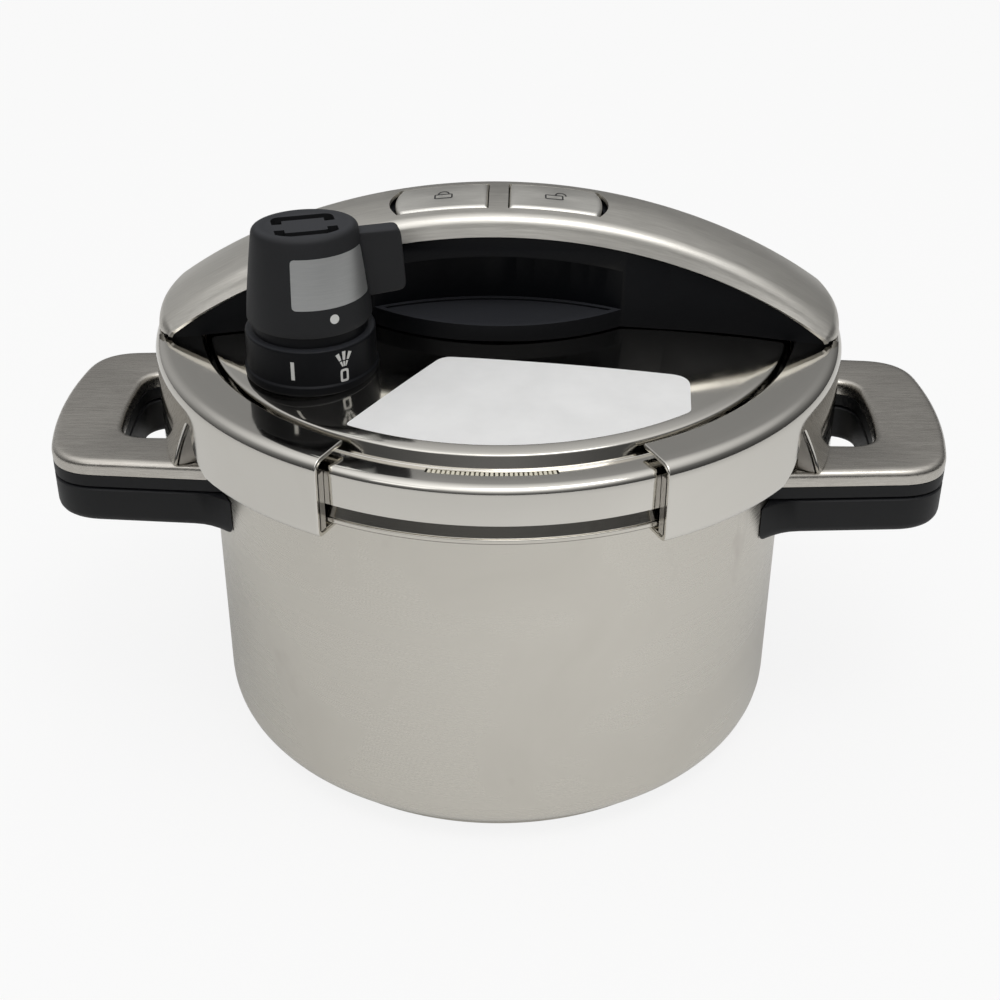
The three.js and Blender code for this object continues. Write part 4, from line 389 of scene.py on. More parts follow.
def merged(mesh, sharp, closed=False, flat=False):
    """Merges a mesh's seams and poles, joins its flat faces where asked, turns a closed one's faces
    outwards, and shades it smooth but for edges that turn by more than an angle."""
    cleaned = bmesh.new()
    cleaned.from_mesh(mesh)
    bmesh.ops.remove_doubles(cleaned, verts=cleaned.verts, dist=2e-6)
    if flat:
        bmesh.ops.dissolve_limit(cleaned, angle_limit=math.radians(0.5), verts=cleaned.verts,
                                 edges=cleaned.edges)
    else:
        bmesh.ops.dissolve_degenerate(cleaned, edges=cleaned.edges, dist=1e-7)
    if closed:
        bmesh.ops.recalc_face_normals(cleaned, faces=cleaned.faces)
    cleaned.to_mesh(mesh)
    cleaned.free()
    mesh.polygons.foreach_set("use_smooth", np.ones(len(mesh.polygons), dtype=bool))
    mesh.set_sharp_from_angle(angle=math.radians(sharp))
    return mesh


def coat(mesh, material):
    """Gives a whole mesh one material."""
    mesh.materials.clear()
    mesh.materials.append(material)
    mesh.polygons.foreach_set("material_index", np.zeros(len(mesh.polygons), dtype=np.int32))
    return mesh


def show(name, mesh):
    piece = bpy.data.objects.new(name, mesh)
    bpy.context.scene.collection.objects.link(piece)
    return piece


def carry(piece, body, replaces):
    """Hangs a piece on the empty of the body that carries it, and hides the nodes that it stands for."""
    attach(piece, body)
    if replaces:
        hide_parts(*replaces)
    return piece


def finish(name, points, faces, material, body, slot, replaces=(), sharp=40.0, closed=True, centre=None):
    """Makes a piece from points in mm. Its faces turn outwards all together where it is closed, or each away
    from a centre where one is given."""
    points = np.asarray(points).reshape(-1, 3)
    if centre is not None:
        faces = outwards(points, np.asarray(faces), centre)
    mesh = bpy.data.meshes.new(name)
    mesh.from_pydata((points * MM).tolist(), [], faces.tolist() if isinstance(faces, np.ndarray) else faces)
    return carry(show(name, coat(merged(mesh, sharp, closed), material)), body, replaces)


def film(name, points, faces, material, body, slot, centre):
    """An open film, whose faces look away from a centre."""
    finish(name, points, faces, material, body, slot, (), 60, False, centre)


def refined(node, body, material, width, angle=38.0):
    """A CAD node's own mesh: doubles merged, flat faces joined and, where a width is given, edges rounded."""
    mesh = coat(merged(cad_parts[node].data.copy(), angle, flat=True), material)
    piece = carry(show(node + "_dressed", mesh), body, [node])
    if width:
        bevel(piece, width, 2, angle)


def quads(rows, columns, wrap_rows=False, wrap_columns=False, keep=None, first=0):
    """Faces of a grid of rows by columns. keep masks the cells, and wrapping joins the last to the first."""
    i, j = np.meshgrid(np.arange(rows if wrap_rows else rows - 1),
                       np.arange(columns if wrap_columns else columns - 1), indexing="ij")
    cells = np.stack([i * columns + j, ((i + 1) % rows) * columns + j,
                      ((i + 1) % rows) * columns + (j + 1) % columns, i * columns + (j + 1) % columns], -1)
    if keep is not None:
        return cells[keep] + first
    return cells.reshape(-1, 4) + first


def tube_faces(rows, columns, first=0):
    """Faces of a closed body whose rows are loops: its walls, and an end face on the first and the last
    row."""
    last = first + (rows - 1) * columns
    return quads(rows, columns, wrap_columns=True, first=first).tolist() + [
        list(range(first, first + columns)), list(range(last + columns - 1, last - 1, -1))]


def slab_faces(rows, columns):
    """Faces of a closed body between two grids of rows by columns: both grids, and walls round their rim."""
    count = rows * columns
    index = np.arange(count).reshape(rows, columns)
    rim = np.concatenate([index[:, 0], index[-1, 1:], index[-2::-1, -1], index[0, -2:0:-1]])
    walls = np.stack([rim, np.roll(rim, -1), np.roll(rim, -1) + count, rim + count], 1)
    return np.concatenate([quads(rows, columns), quads(rows, columns, first=count)[:, ::-1], walls])


def fillet(corners, steps=5):
    """A path through [x, z, radius] corners, each rounded by a quadratic curve whose ends lie on the two
    sides. For a radius r and a turn by angle a, the ends are r tan(a / 2) from the corner."""
    corners = np.array(corners, dtype=float)
    path = [corners[0, :2]]
    for before, here, after in zip(corners[:-2], corners[1:-1], corners[2:]):
        if here[2] <= 0:
            path.append(here[:2])
            continue
        arm_in, arm_out = before[:2] - here[:2], after[:2] - here[:2]
        long_in, long_out = np.linalg.norm(arm_in), np.linalg.norm(arm_out)
        cosine = np.clip(arm_in @ arm_out / (long_in * long_out), -1, 1)
        reach = here[2] * math.tan((math.pi - math.acos(cosine)) / 2)
        reach = min(reach, 0.49 * long_in, 0.49 * long_out)
        start, end = here[:2] + arm_in / long_in * reach, here[:2] + arm_out / long_out * reach
        t = np.linspace(0, 1, steps + 1)[:, None]
        path.extend((1 - t) ** 2 * start + 2 * t * (1 - t) * here[:2] + t ** 2 * end)
    path.append(corners[-1, :2])
    return np.array(path)


def densified(path, longest):
    """The same path with points added so that no step is longer than a length."""
    steps = [np.linspace(a, b, 1 + max(1, math.ceil(np.linalg.norm(b - a) / longest)))[1:]
             for a, b in zip(path, path[1:])]
    return np.concatenate([path[:1], *steps])


def about_axis(radius, angle, height, centre=(0, 0)):
    """Points by radius, angle and height about an upright axis: x = r cos a, y = r sin a."""
    radius, angle, height = np.broadcast_arrays(radius, angle, height)
    return np.stack([centre[0] + radius * np.cos(angle), centre[1] + radius * np.sin(angle), height], -1)


def lathe(profile, segments=192, centre=(0, 0)):
    """A profile of [radius, height] rows turned round the vertical axis."""
    grid = about_axis(profile[:, :1], np.arange(segments) * TURN / segments, profile[:, 1:], centre)
    return grid, quads(len(profile), segments, wrap_columns=True)


def strip(path, width):
    """A flat ribbon of a width along a path of (x, y) points: the path moved to both sides along its
    normals."""
    path = np.asarray(path, dtype=float)
    tangent = np.gradient(path, axis=0)
    tangent /= np.linalg.norm(tangent, axis=1)[:, None]
    normal = np.column_stack([-tangent[:, 1], tangent[:, 0]]) * width / 2
    return np.stack([path - normal, path + normal])


def ribbons(name, parts, lay, material, body, slot, centre):
    """Flat ribbons as one film, laid on a surface by a function of (x, y) points."""
    points, faces, first = [], [], 0
    for part in parts:
        points.append(lay(part.reshape(-1, 2)))
        faces += quads(2, part.shape[1], first=first).tolist()
        first += len(points[-1])
    film(name, np.concatenate(points), faces, material, body, slot, centre)


def bevel(piece, width, segments=2, angle=40.0):
    """Rounds the edges of a piece that turn by more than an angle."""
    modifier = piece.modifiers.new("rounding", "BEVEL")
    modifier.width = width * MM
    modifier.segments = segments
    modifier.limit_method = "ANGLE"
    modifier.angle_limit = math.radians(angle)
    modifier.harden_normals = True
    modifier.miter_outer = "MITER_ARC"


def thicken(piece, thickness):
    """Gives an open surface its sheet, on the side away from its normals."""
    modifier = piece.modifiers.new("sheet", "SOLIDIFY")
    modifier.thickness = thickness * MM
    modifier.offset = -1.0
    modifier.use_even_offset = True


# ---- pot


def pot():
    """Turned pot: floor, foot curve, straight wall, throat, flange with a rolled lower edge, and the base
    disc."""
    inside = POT_BOTTOM + POT_SHEET
    bead_r, bead_z = FLANGE_R + BEAD, FLANGE_Z + 1.9
    profile = fillet([
        [0, POT_BOTTOM, 0], [POT_WALL, POT_BOTTOM, 11], [POT_WALL, RIM - POT_SHEET, 3],
        [FLANGE_R - 2.6, RIM - POT_SHEET, 0.6], [FLANGE_R - 1.2, FLANGE_Z, 0.7], [bead_r, FLANGE_Z, 0.9],
        [bead_r, bead_z, 0.9], [FLANGE_R + 0.2, bead_z, 0.2], [FLANGE_R - 1.1, RIM - 0.4, 0.6],
        [FLANGE_R - 2.2, RIM, 0.8], [POT_IN, RIM, 3.2], [POT_IN, inside, 10], [0, inside, 0],
    ], 9)
    finish("pot_shell", *lathe(densified(profile, 12), 256), SATIN, "pot", "satin_steel", ["pot_body"], 50)
    disc = fillet([[0, 0, 0], [DISC_R, 0, 1.6], [DISC_R, DISC_H, 0.4], [0, DISC_H, 0]], 4)
    finish("base_plate", *lathe(disc), SATIN, "pot", "satin_steel", ["base_disc"], 50)


# ---- pot handles


def bowed_loop(root_x, root_half, reach, half, bow, corner, flare=0.0):
    """A plan outline without its root: front side, corner, bowed end, corner and back side. The end is
    x = reach - bow (y / half)^2, each corner is a quadratic curve between the side and the bow, and the sides
    spread by a flare at their root."""
    foot = np.array([root_x, -root_half])
    edge = np.array([reach - bow, -half])
    along = (edge - foot) / np.linalg.norm(edge - foot)
    start = edge - along * corner
    landing_y = -half + corner * 0.96
    landing = np.array([reach - bow * (landing_y / half) ** 2, landing_y])
    tangent = np.array([-2 * bow * landing_y / half ** 2, 1.0])
    control = start + along * np.linalg.solve(np.stack([along, tangent], 1), landing - start)[0]
    t = np.linspace(0, 1, 13)[:, None]
    rounded = (1 - t) ** 2 * start + 2 * t * (1 - t) * control + t ** 2 * landing
    side = foot + (start - foot) * np.linspace(0, 1, 15)[:, None]
    side[:, 1] -= flare * np.clip(1 - (side[:, 0] - root_x) / 13, 0, 1) ** 2
    y = np.linspace(landing_y, -landing_y, 25)
    end = np.stack([reach - bow * (y / half) ** 2, y], 1)
    back = (np.concatenate([side, rounded[1:-1]]) * [1, -1])[::-1]
    return np.concatenate([side[:-1], rounded[:-1], end, back])


def outer_loop(inset, flare):
    """The handle's outside, moved in by an inset. Its root is an arc round the pot."""
    radius = POT_WALL + SEAT + 0.25 * inset
    half = HANDLE_ROOT - inset
    root_x = math.sqrt(radius ** 2 - (half + flare) ** 2)
    loop = bowed_loop(root_x, half, HANDLE_REACH - inset, HANDLE_END - inset, HANDLE_BOW,
                      HANDLE_CORNER - inset * 0.9, flare)
    limit = math.asin((half + flare) / radius)
    angle = np.linspace(limit, -limit, 26)[1:-1]
    return np.concatenate([loop, radius * np.stack([np.cos(angle), np.sin(angle)], 1)])


def hole_loop(grow):
    """The finger hole, grown by a distance. Its root is a straight line with rounded corners."""
    inner, half, corner = HOLE_IN - grow, HOLE_HALF + grow, HOLE_CORNER + grow
    loop = bowed_loop(inner + corner, half, HOLE_OUT + grow, half, HOLE_BOW, corner)
    bend = fillet([[inner + corner, half, 0], [inner, half, corner * 0.97], [inner, -half, corner * 0.97],
                   [inner + corner, -half, 0]], 9)
    pick = np.linspace(0, len(bend) - 1, 26)[1:-1]
    root = np.stack([np.interp(pick, np.arange(len(bend)), bend[:, k]) for k in (0, 1)], 1)
    return np.concatenate([loop, root])


def ring(name, stations, side, material, slot, node, round_by=0.0, flare=0.0):
    """A closed loop of a handle: stations of (outline, distance into the material, height), joined in turn
    and at last to the first. The outline is the finger hole's or the outside's."""
    rows = []
    for outline, distance, height in stations:
        loop = hole_loop(distance) if outline == "hole" else outer_loop(distance, flare)
        rows.append(np.column_stack([loop * side, np.full(len(loop), height)]))
    grid = np.array(rows)
    piece = finish(name, grid, quads(*grid.shape[:2], True, True), material, "pot", slot, [node])
    if round_by:
        bevel(piece, round_by, 2, 50)


def quarter_round(outline, radius, height, way):
    """Stations round an edge, from the wall to the flat: r (1 - cos a) into the material, and r (1 - sin a)
    below the flat's height, or above it where way is -1."""
    return [(outline, radius * (1 - math.cos(a)), height - way * radius * (1 - math.sin(a)))
            for a in np.linspace(0, math.pi / 2, 6)]


def handles():
    """On each side of the pot a folded steel cap, a frame and a grip."""
    cap = [
        ("hole", 0, CAP_LOW), *quarter_round("hole", 2.2, CAP_TOP, 1), ("outer", 3.6, CAP_TOP),
        *quarter_round("outer", 2.4, CAP_TOP, 1)[::-1], ("outer", 0, CAP_LOW), ("outer", CAP_SHEET, CAP_LOW),
        ("outer", 3.4, CAP_TOP - CAP_SHEET), ("hole", 3.4, CAP_TOP - CAP_SHEET), ("hole", CAP_SHEET, CAP_LOW),
    ]
    band = [
        ("hole", 0, FRAME_LOW), ("hole", 0, FRAME_TOP), ("outer", 0, FRAME_TOP), ("outer", 0, FRAME_LOW),
        ("outer", FRAME_SHELL, FRAME_LOW), ("outer", FRAME_SHELL, GRIP_TOP + SEAT),
        ("hole", FRAME_SHELL, GRIP_TOP + SEAT), ("hole", FRAME_SHELL, FRAME_LOW),
    ]
    grip = [
        *quarter_round("hole", 3.0, GRIP_LOW, -1)[::-1], ("hole", 0, GRIP_TOP - 0.4), ("hole", 0.4, GRIP_TOP),
        ("outer", 0.4, GRIP_TOP), ("outer", 0, GRIP_TOP - 0.4), *quarter_round("outer", 3.6, GRIP_LOW, -1),
    ]
    for side, tag in SIDES:
        ring("cap_" + tag, cap, side, BRUSH_CAP, "brushed_steel", "handle_cap_" + tag)
        ring("frame_" + tag, band, side, BLACK_DULL, "black_plastic", "upper_frame_" + tag, round_by=0.35)
        ring("grip_" + tag, grip, side, BLACK_DULL, "black_plastic", "lower_grip_" + tag, flare=GRIP_FLARE)


# ---- lid


def crown(radius):
    """The lid's height at a radius, inside its ridge."""
    return CREST_Z - (CREST_Z - RIDGE_Z) * (radius / RIDGE_R) ** 2


def lid():
    """Turned lid with a crown z = crest - (crest - edge)(r / R)^2, a groove, a flat rim and a skirt. The
    relief slot is left out of the grid's cells, and four walls join the upper and lower sheets."""
    radius = np.linspace(0, RIDGE_R - 2.2, 30)
    slot_in, slot_out = SLOT_R - SLOT_WIDE / 2, SLOT_R + SLOT_WIDE / 2
    groove = LID_RIM_Z - 1.1
    ridge_and_rim = fillet([
        [radius[-1], crown(radius[-1]), 0], [RIDGE_R - 1.0, RIDGE_Z - 0.15, 0.9],
        [RIDGE_R + 0.5, groove, 0.6],
        [RIDGE_R + 1.1, groove, 0.5], [RIDGE_R + 2.4, LID_RIM_Z, 0.9], [slot_in, LID_RIM_Z, 0],
        [slot_out, LID_RIM_Z, 0], [LID_SKIRT_R, LID_RIM_Z, 3.2], [LID_SKIRT_R, LID_SKIRT_Z, 0],
    ], 6)
    upper = np.concatenate([np.column_stack([radius, crown(radius)]), ridge_and_rim[1:]])
    slope = np.gradient(upper, axis=0)
    normals = np.column_stack([slope[:, 1], -slope[:, 0]]) / np.linalg.norm(slope, axis=1)[:, None]
    lower = upper + normals * LID_SHEET
    lower[:, 0] = np.maximum(lower[:, 0], 0)
    lower[0, 0] = 0
    lower[-1] = [LID_SKIRT_R - LID_SHEET, LID_SKIRT_Z]
    profile = np.concatenate([upper, lower[::-1]])
    count, segments = len(profile), 360
    angle = (np.arange(segments) + 0.5) * TURN / segments
    in_arc = np.abs((angle - 1.5 * math.pi + math.pi) % TURN - math.pi) < SLOT_LONG / SLOT_R / 2
    band = np.isclose(upper[:-1, 0], slot_in, atol=0.01) & np.isclose(upper[:-1, 1], LID_RIM_Z)
    row = int(np.flatnonzero(band)[-1])
    under = count - 2 - row
    keep = np.ones((count - 1, segments), dtype=bool)
    keep[[[row], [under]], in_arc] = False
    faces = quads(count, segments, wrap_columns=True, keep=keep).tolist()
    columns = np.flatnonzero(in_arc)
    span = [(columns[0] + k) % segments for k in range(len(columns) + 1)]
    for level, below in ((row, under + 1), (row + 1, under)):
        faces += [[level * segments + a, level * segments + b, below * segments + b, below * segments + a]
                  for a, b in zip(span, span[1:])]
    faces += [[row * segments + column, (row + 1) * segments + column, under * segments + column,
               (under + 1) * segments + column] for column in (span[0], span[-1])]
    finish("lid_shell", lathe(profile, segments)[0], faces, POLISH, "lid", "polished_steel", ["lid_pan"], 50)


def relief_ribs():
    """Rounded teeth of the seal that fill the relief slot, one beside the other along its arc."""
    count, half_wide, half_deep = 27, 0.5, 0.98
    half = math.degrees(SLOT_LONG / SLOT_R / 2) - 0.6
    angle = np.radians(-90 + half * (2 * (np.arange(count) + 0.5) / count - 1))
    out = np.stack([np.cos(angle), np.sin(angle), 0 * angle], -1)[:, None]
    along = np.stack([-np.sin(angle), np.cos(angle), 0 * angle], -1)[:, None]
    section = fillet([[-half_wide, -1.6, 0], [-half_wide, -0.05, 0.35], [half_wide, -0.05, 0.35],
                      [half_wide, -1.6, 0]], 3)
    base = out * SLOT_R + np.array([0, 0, LID_RIM_Z])
    front, back = (base + out * reach + along * section[None, :, :1] + section[None, :, 1:] * [0, 0, 1]
                   for reach in (-half_deep, half_deep))
    wide = len(section)
    faces = sum((tube_faces(2, wide, 2 * wide * k) for k in range(count)), [])
    finish("relief_ribs", np.stack([front, back], 1), faces, CREAM, "lid", "silicone", (), 30)


# ---- clamp jaws


def jaws():
    """Each jaw is one sheet on a grid of angle by profile: top flange, shoulder, wall, fold and lower lip.
    Below the notch it splits into a tongue, whose sides close in as it goes down, and two skirts, whose
    lower corners turn away on an arc. The tongue's sides and the jaw's ends are folded inwards: the ends by
    END_FOLD, and the tongue by the sheet's thickness at the notch to TONGUE_FOLD at the foot. A tab stands
    on the jaw's middle."""
    profile = fillet([
        [JAW_FLANGE_R, JAW_TOP, 0], [JAW_R - 6, JAW_TOP, 0], [JAW_R, JAW_TOP, 3.2], [JAW_R, NOTCH_Z, 0],
        [JAW_R, JAW_LOW + SKIRT_CORNER, 0], [JAW_R, JAW_LOW, 1.8], [JAW_LIP_R, JAW_LOW, 0],
    ], 7)
    split = int(np.flatnonzero(np.isclose(profile[:, 0], JAW_R) & np.isclose(profile[:, 1], NOTCH_Z))[0])
    half_notch = NOTCH_WIDE / 2
    notch = math.radians(NOTCH_AT)
    drop = JAW_R * math.sin(math.radians(NOTCH_AT - TONGUE_HALF)) - half_notch

    def tongue_edge(height):
        across = -half_notch - drop * (NOTCH_Z - height) / (NOTCH_Z - TONGUE_Z + 1)
        return notch + np.arcsin(across / JAW_R)

    def skirt_edge(height):
        low = np.clip(SKIRT_CORNER - (height - JAW_LOW), 0, SKIRT_CORNER)
        across = half_notch + SKIRT_CORNER - np.sqrt(np.maximum(SKIRT_CORNER ** 2 - low ** 2, 0))
        return notch + np.arcsin(across / JAW_R)

    def sheet(rows, start, end, columns):
        """Rows of [radius, height] between two edges given as an angle, the same or one for each row."""
        share = np.linspace(0, 1, columns)[None, :]
        start, end = (np.broadcast_to(edge, len(rows))[:, None] for edge in (start, end))
        angle = start * (1 - share) + end * share
        return about_axis(rows[:, :1], angle, rows[:, 1:])

    def fold(level, start, deep):
        """A plate behind an edge at an angle for each height, and its mirror image, turned inwards."""
        radius = JAW_R - np.column_stack([0.5 + 0 * deep, deep, deep, 0.5 + 0 * deep])
        angle = start[:, None] - np.array([0.2, 0.2, 0.2 + FOLD_THICK, 0.2 + FOLD_THICK]) / JAW_R
        plate = about_axis(radius, angle, level[:, None])
        return [plate, plate * [1, -1, 1]]

    steps = 16
    end = math.radians(JAW_HALF)
    upper = profile[:split + 1]
    notched, cornered = (np.linspace(profile[split + k], profile[split + k + 1], points)[:-1]
                         for k, points in ((0, 5), (1, 12)))
    lower = np.concatenate([notched, cornered, profile[split + 2:]])
    height = np.linspace(NOTCH_Z, TONGUE_Z, steps)
    tongue_rows = np.column_stack([np.full(steps, JAW_R), height])
    near, far = float(tongue_edge(NOTCH_Z)), float(skirt_edge(NOTCH_Z))
    patches = [sheet(upper, -near, near, 61), sheet(upper, near, far, 3), sheet(upper, -far, -near, 3),
               sheet(upper, far, end, 31), sheet(upper, -end, -far, 31),
               sheet(tongue_rows, -tongue_edge(height), tongue_edge(height), 61),
               sheet(lower, skirt_edge(lower[:, 1]), end, 31),
               sheet(lower, -end, -skirt_edge(lower[:, 1]), 31)]
    faces, first = [], 0
    for patch in patches:
        faces += quads(*patch.shape[:2], first=first)[:, ::-1].tolist()
        first += patch.shape[0] * patch.shape[1]
    points = np.concatenate([patch.reshape(-1, 3) for patch in patches])

    depth = JAW_SHEET + (TONGUE_FOLD - JAW_SHEET) * (NOTCH_Z - height) / (NOTCH_Z - TONGUE_Z)
    wall = np.linspace(JAW_TOP - 3.4, JAW_LOW + 0.4, steps)
    folds = np.array(fold(height, tongue_edge(height), depth)
                     + fold(wall, end + 0 * wall, END_FOLD + 0 * wall))
    fold_faces = sum((tube_faces(steps, 4, 4 * steps * k) for k in range(len(folds))), [])

    tab_half = math.asin(TAB_HALF / JAW_R)
    inner = JAW_R - JAW_SHEET
    section = fillet([[inner, JAW_TOP - 3, 0], [inner, TAB_TOP, 0.5], [JAW_R, TAB_TOP, 0.5],
                      [JAW_R, JAW_TOP - 5, 0], [inner, JAW_TOP - 5, 0]], 3)
    tab = sheet(section, -tab_half, tab_half, 31).transpose(1, 0, 2)
    for side, tag in SIDES:
        turn = np.array([side, side, 1.0])
        piece = finish("clamp_" + tag, points * turn, faces, POLISH, "jaw_" + tag, "polished_steel",
                       ["jaw_" + tag], 50, False)
        thicken(piece, JAW_SHEET)
        bevel(piece, 0.55, 3, 50)
        finish("clamp_fold_" + tag, folds * turn, fold_faces, MILL, "jaw_" + tag, "polished_steel", (), 50)
        finish("clamp_tab_" + tag, tab * turn, tube_faces(*tab.shape[:2]), POLISH, "jaw_" + tag,
               "polished_steel", (), 50)


# ---- bridge


def cover_section(half):
    """Half of the cover's section as (y, height, share of the side wall), mirrored to both sides: the flat
    z = crown (1 - (y / half)^2), a rounded fold and a side wall that leans out."""
    flat = np.concatenate([np.linspace(0, half, 9), np.linspace(half, FOLD_HALF - FOLD_ROUND, 5)[1:]])
    steep = 1.3
    lean = math.atan2(2 * COVER_CROWN * flat[-1], FOLD_HALF ** 2)
    radius = FOLD_ROUND / (math.sin(steep) - math.sin(lean))
    section = [(y, COVER_CROWN * (1 - (y / FOLD_HALF) ** 2), 0.0) for y in flat]
    edge_y, edge_h, _ = section[-1]
    section += [(edge_y + radius * (math.sin(a) - math.sin(lean)),
                 edge_h - radius * (math.cos(lean) - math.cos(a)), 0.0)
                for a in np.linspace(lean, steep, 9)[1:]]
    fold_y, fold_h, _ = section[-1]
    section += [(fold_y + (FOLD_HALF + COVER_FLARE - fold_y) * w, fold_h, w) for w in np.linspace(0.25, 1, 6)]
    return np.array([(-y, h, w) for y, h, w in section[:0:-1]] + section).T, fold_h


def bridge_cover():
    """The arch is carried along x: a circular arc, a tangent shoulder at each end and a short upright foot.
    Near its ends, by (x / end)^4, it grows wider and shallower, and x moves in to follow the lid's round
    edge. Round each window's outer end the stations bow as bow (1 - (y / half)^2), so the grid follows its
    edge."""
    inner, outer = BUTTON_IN - WINDOW_GAP, BUTTON_OUT + WINDOW_GAP
    half = BUTTON_HALF + WINDOW_GAP
    wide = np.concatenate([np.linspace(0, inner, 4), np.linspace(inner, outer, 30)[1:],
                           np.linspace(outer, ARCH_R * math.sin(SHOULDER_ANGLE), 56)[1:-1]])
    stations = np.concatenate([-wide[:0:-1], wide])
    (y, h, w), fold_h = cover_section(half)
    inside = np.clip(1 - (y / half) ** 2, 0, 1)

    def place(centre_x, centre_z, radius, angle):
        """Points of the section on a station whose outward direction is angle from upright."""
        out_x, out_z = np.sin(angle), np.cos(angle)
        path_x = centre_x + radius * out_x
        near_end = (path_x / BRIDGE_END) ** 4
        height = h - w * (COVER_DEPTH - END_RISE * near_end + fold_h)
        across = y + np.sign(y) * END_SPREAD * near_end * np.minimum(np.abs(y) / FOLD_HALF, 1) ** 2
        x = path_x + height * out_x
        drawn_in = (BRIDGE_END - np.sqrt(BRIDGE_END ** 2 - across ** 2)) * (x / BRIDGE_END) ** 4
        return np.stack([x - np.sign(x) * drawn_in, across, centre_z + (radius + height) * out_z], -1)

    rows = []
    for x in stations:
        bump = WINDOW_BOW * np.clip(1 - np.abs(abs(x) - outer) / 14, 0, 1) * inside
        rows.append(place(0, ARCH_Z, ARCH_R, np.arcsin((x + np.sign(x) * bump) / ARCH_R)))
    ends = 11
    last = math.acos((BRIDGE_SEAM - SHOULDER_Z) / SHOULDER)
    for side in (1, -1):
        turned_down = [place(side * SHOULDER_X, SHOULDER_Z, SHOULDER, np.full(len(y), side * a))
                       for a in np.linspace(SHOULDER_ANGLE, last, ends)]
        for k, row in enumerate(turned_down):
            row[:, 2] = np.maximum(row[:, 2], BRIDGE_SEAM + 0.12 * (ends - 1 - k))
        turned_down[-1][:, 2] = BRIDGE_SEAM
        rows = rows + turned_down if side > 0 else turned_down[::-1] + rows
    grid = np.array(rows)
    row_x = np.concatenate([np.full(ends, -BRIDGE_END), stations, np.full(ends, BRIDGE_END)])
    mid_x, mid_y = np.abs((row_x[1:] + row_x[:-1]) / 2), np.abs((y[1:] + y[:-1]) / 2)
    keep = ~(((mid_x > inner) & (mid_x < outer))[:, None] & (mid_y < half)[None, :])
    piece = finish("bridge_shell", grid, quads(*grid.shape[:2], keep=keep), BRUSH_COVER, "lid",
                   "brushed_steel", ["bridge_cover"], 50, False)
    thicken(piece, COVER_SHEET)
    bevel(piece, 0.3, 3, 50)


def arch(x):
    """The height of the bridge's circular arc."""
    return ARCH_Z + np.sqrt(ARCH_R ** 2 - x * x)


def button_top(x, y):
    """The height of the buttons' top: the arch, plus the cover's crown, plus how far they stand proud."""
    return arch(x) + COVER_CROWN * (1 - (y / FOLD_HALF) ** 2) + BUTTON_PROUD


def buttons():
    """Each cap is a grid over x by y, whose edges roll down on a quarter circle, and a flat underside."""
    across, along = np.linspace(-1, 1, 25)[None, :], np.linspace(0, 1, 33)[:, None]
    y = across * BUTTON_HALF
    reach = BUTTON_OUT + BUTTON_BOW * (1 - across ** 2)
    x = BUTTON_IN + along * (reach - BUTTON_IN)
    edge = np.minimum(np.minimum(np.minimum(x - BUTTON_IN, reach - x), BUTTON_HALF - np.abs(y)), BUTTON_ROUND)
    curve = BUTTON_ROUND - np.sqrt(np.maximum(BUTTON_ROUND ** 2 - (BUTTON_ROUND - edge) ** 2, 0))
    top = np.stack([x, y + 0 * x, button_top(x, y) - 0.02 - curve], -1)
    low = top.copy()
    low[..., 2] = arch(BUTTON_OUT + BUTTON_BOW) + COVER_CROWN + BUTTON_PROUD - 1.9
    for side, tag in ((1, "release"), (-1, "lock")):
        finish(tag + "_cap", np.stack([top, low]) * [side, 1, 1], slab_faces(*x.shape), BRUSH_BUTTON,
               tag + "_button", "brushed_steel", [tag + "_button"], 60)


def padlocks():
    """A plain padlock sign on each button: a body and a shackle, closed on one and swung open on the
    other."""
    body = fillet([[0, -1.9, 0], [2.8, -1.9, 0.4], [2.8, 1.3, 0.4], [-2.8, 1.3, 0.4], [-2.8, -1.9, 0.4],
                   [0, -1.9, 0]], 2)
    angle = np.linspace(0, math.pi, 14)
    for side, tag, swing in ((-1, "lock", 0.0), (1, "release", 2.2)):
        shackle = np.column_stack([swing + 1.7 * np.cos(angle), 1.5 + 2.4 * np.sin(angle)])

        def on_button(flat):
            x, y = flat[:, 0] + side * 18.3, flat[:, 1] - 0.4
            return np.column_stack([x, y, button_top(x, y) + 0.04])

        ribbons(tag + "_sign", [strip(body, 0.55), strip(shackle, 0.55)], on_button, INK, tag + "_button",
                "black_plastic", (0, 0, 0))


# ---- springs


def spring(name, node, body, x, y, radius, turns):
    """A coil spring: a round wire whose centre goes round an upright axis at one radius and climbs evenly,
    drawn to a point on that centre at both ends."""
    low, high = (corner[2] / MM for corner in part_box(node))
    climb = (high - low - 2 * SPRING_WIRE) / (turns * TURN)
    slope = math.atan2(climb, radius)
    angle = np.linspace(0, turns * TURN, round(turns * 28) + 1)
    angle = np.concatenate([angle[:1], angle, angle[-1:]])[:, None]
    size = np.full_like(angle, SPRING_WIRE)
    size[[0, -1]] = 0
    round_wire = np.linspace(0, TURN, 10, endpoint=False)[None, :]
    away, up = radius + size * np.cos(round_wire), size * np.sin(round_wire)
    grid = np.stack([x + away * np.cos(angle) + math.sin(slope) * up * np.sin(angle),
                     y + away * np.sin(angle) - math.sin(slope) * up * np.cos(angle),
                     low + SPRING_WIRE + climb * angle + math.cos(slope) * up], -1)
    faces = quads(*grid.shape[:2], wrap_columns=True)
    piece = finish(name, grid, faces, MILL, body, "plain_steel", [node], 60)
    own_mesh(piece)


def springs():
    """One spring under each button and one over the valve's poppet."""
    for side, tag in ((1, "release"), (-1, "lock")):
        spring(tag + "_coil", tag + "_spring", "lid", side * BUTTON_SPRING_X, 0, 3.4, 3)
    spring("valve_coil", "valve_spring", "regulator_knob", REG_X, REG_Y, 3.2, 2.5)


# ---- pressure regulator


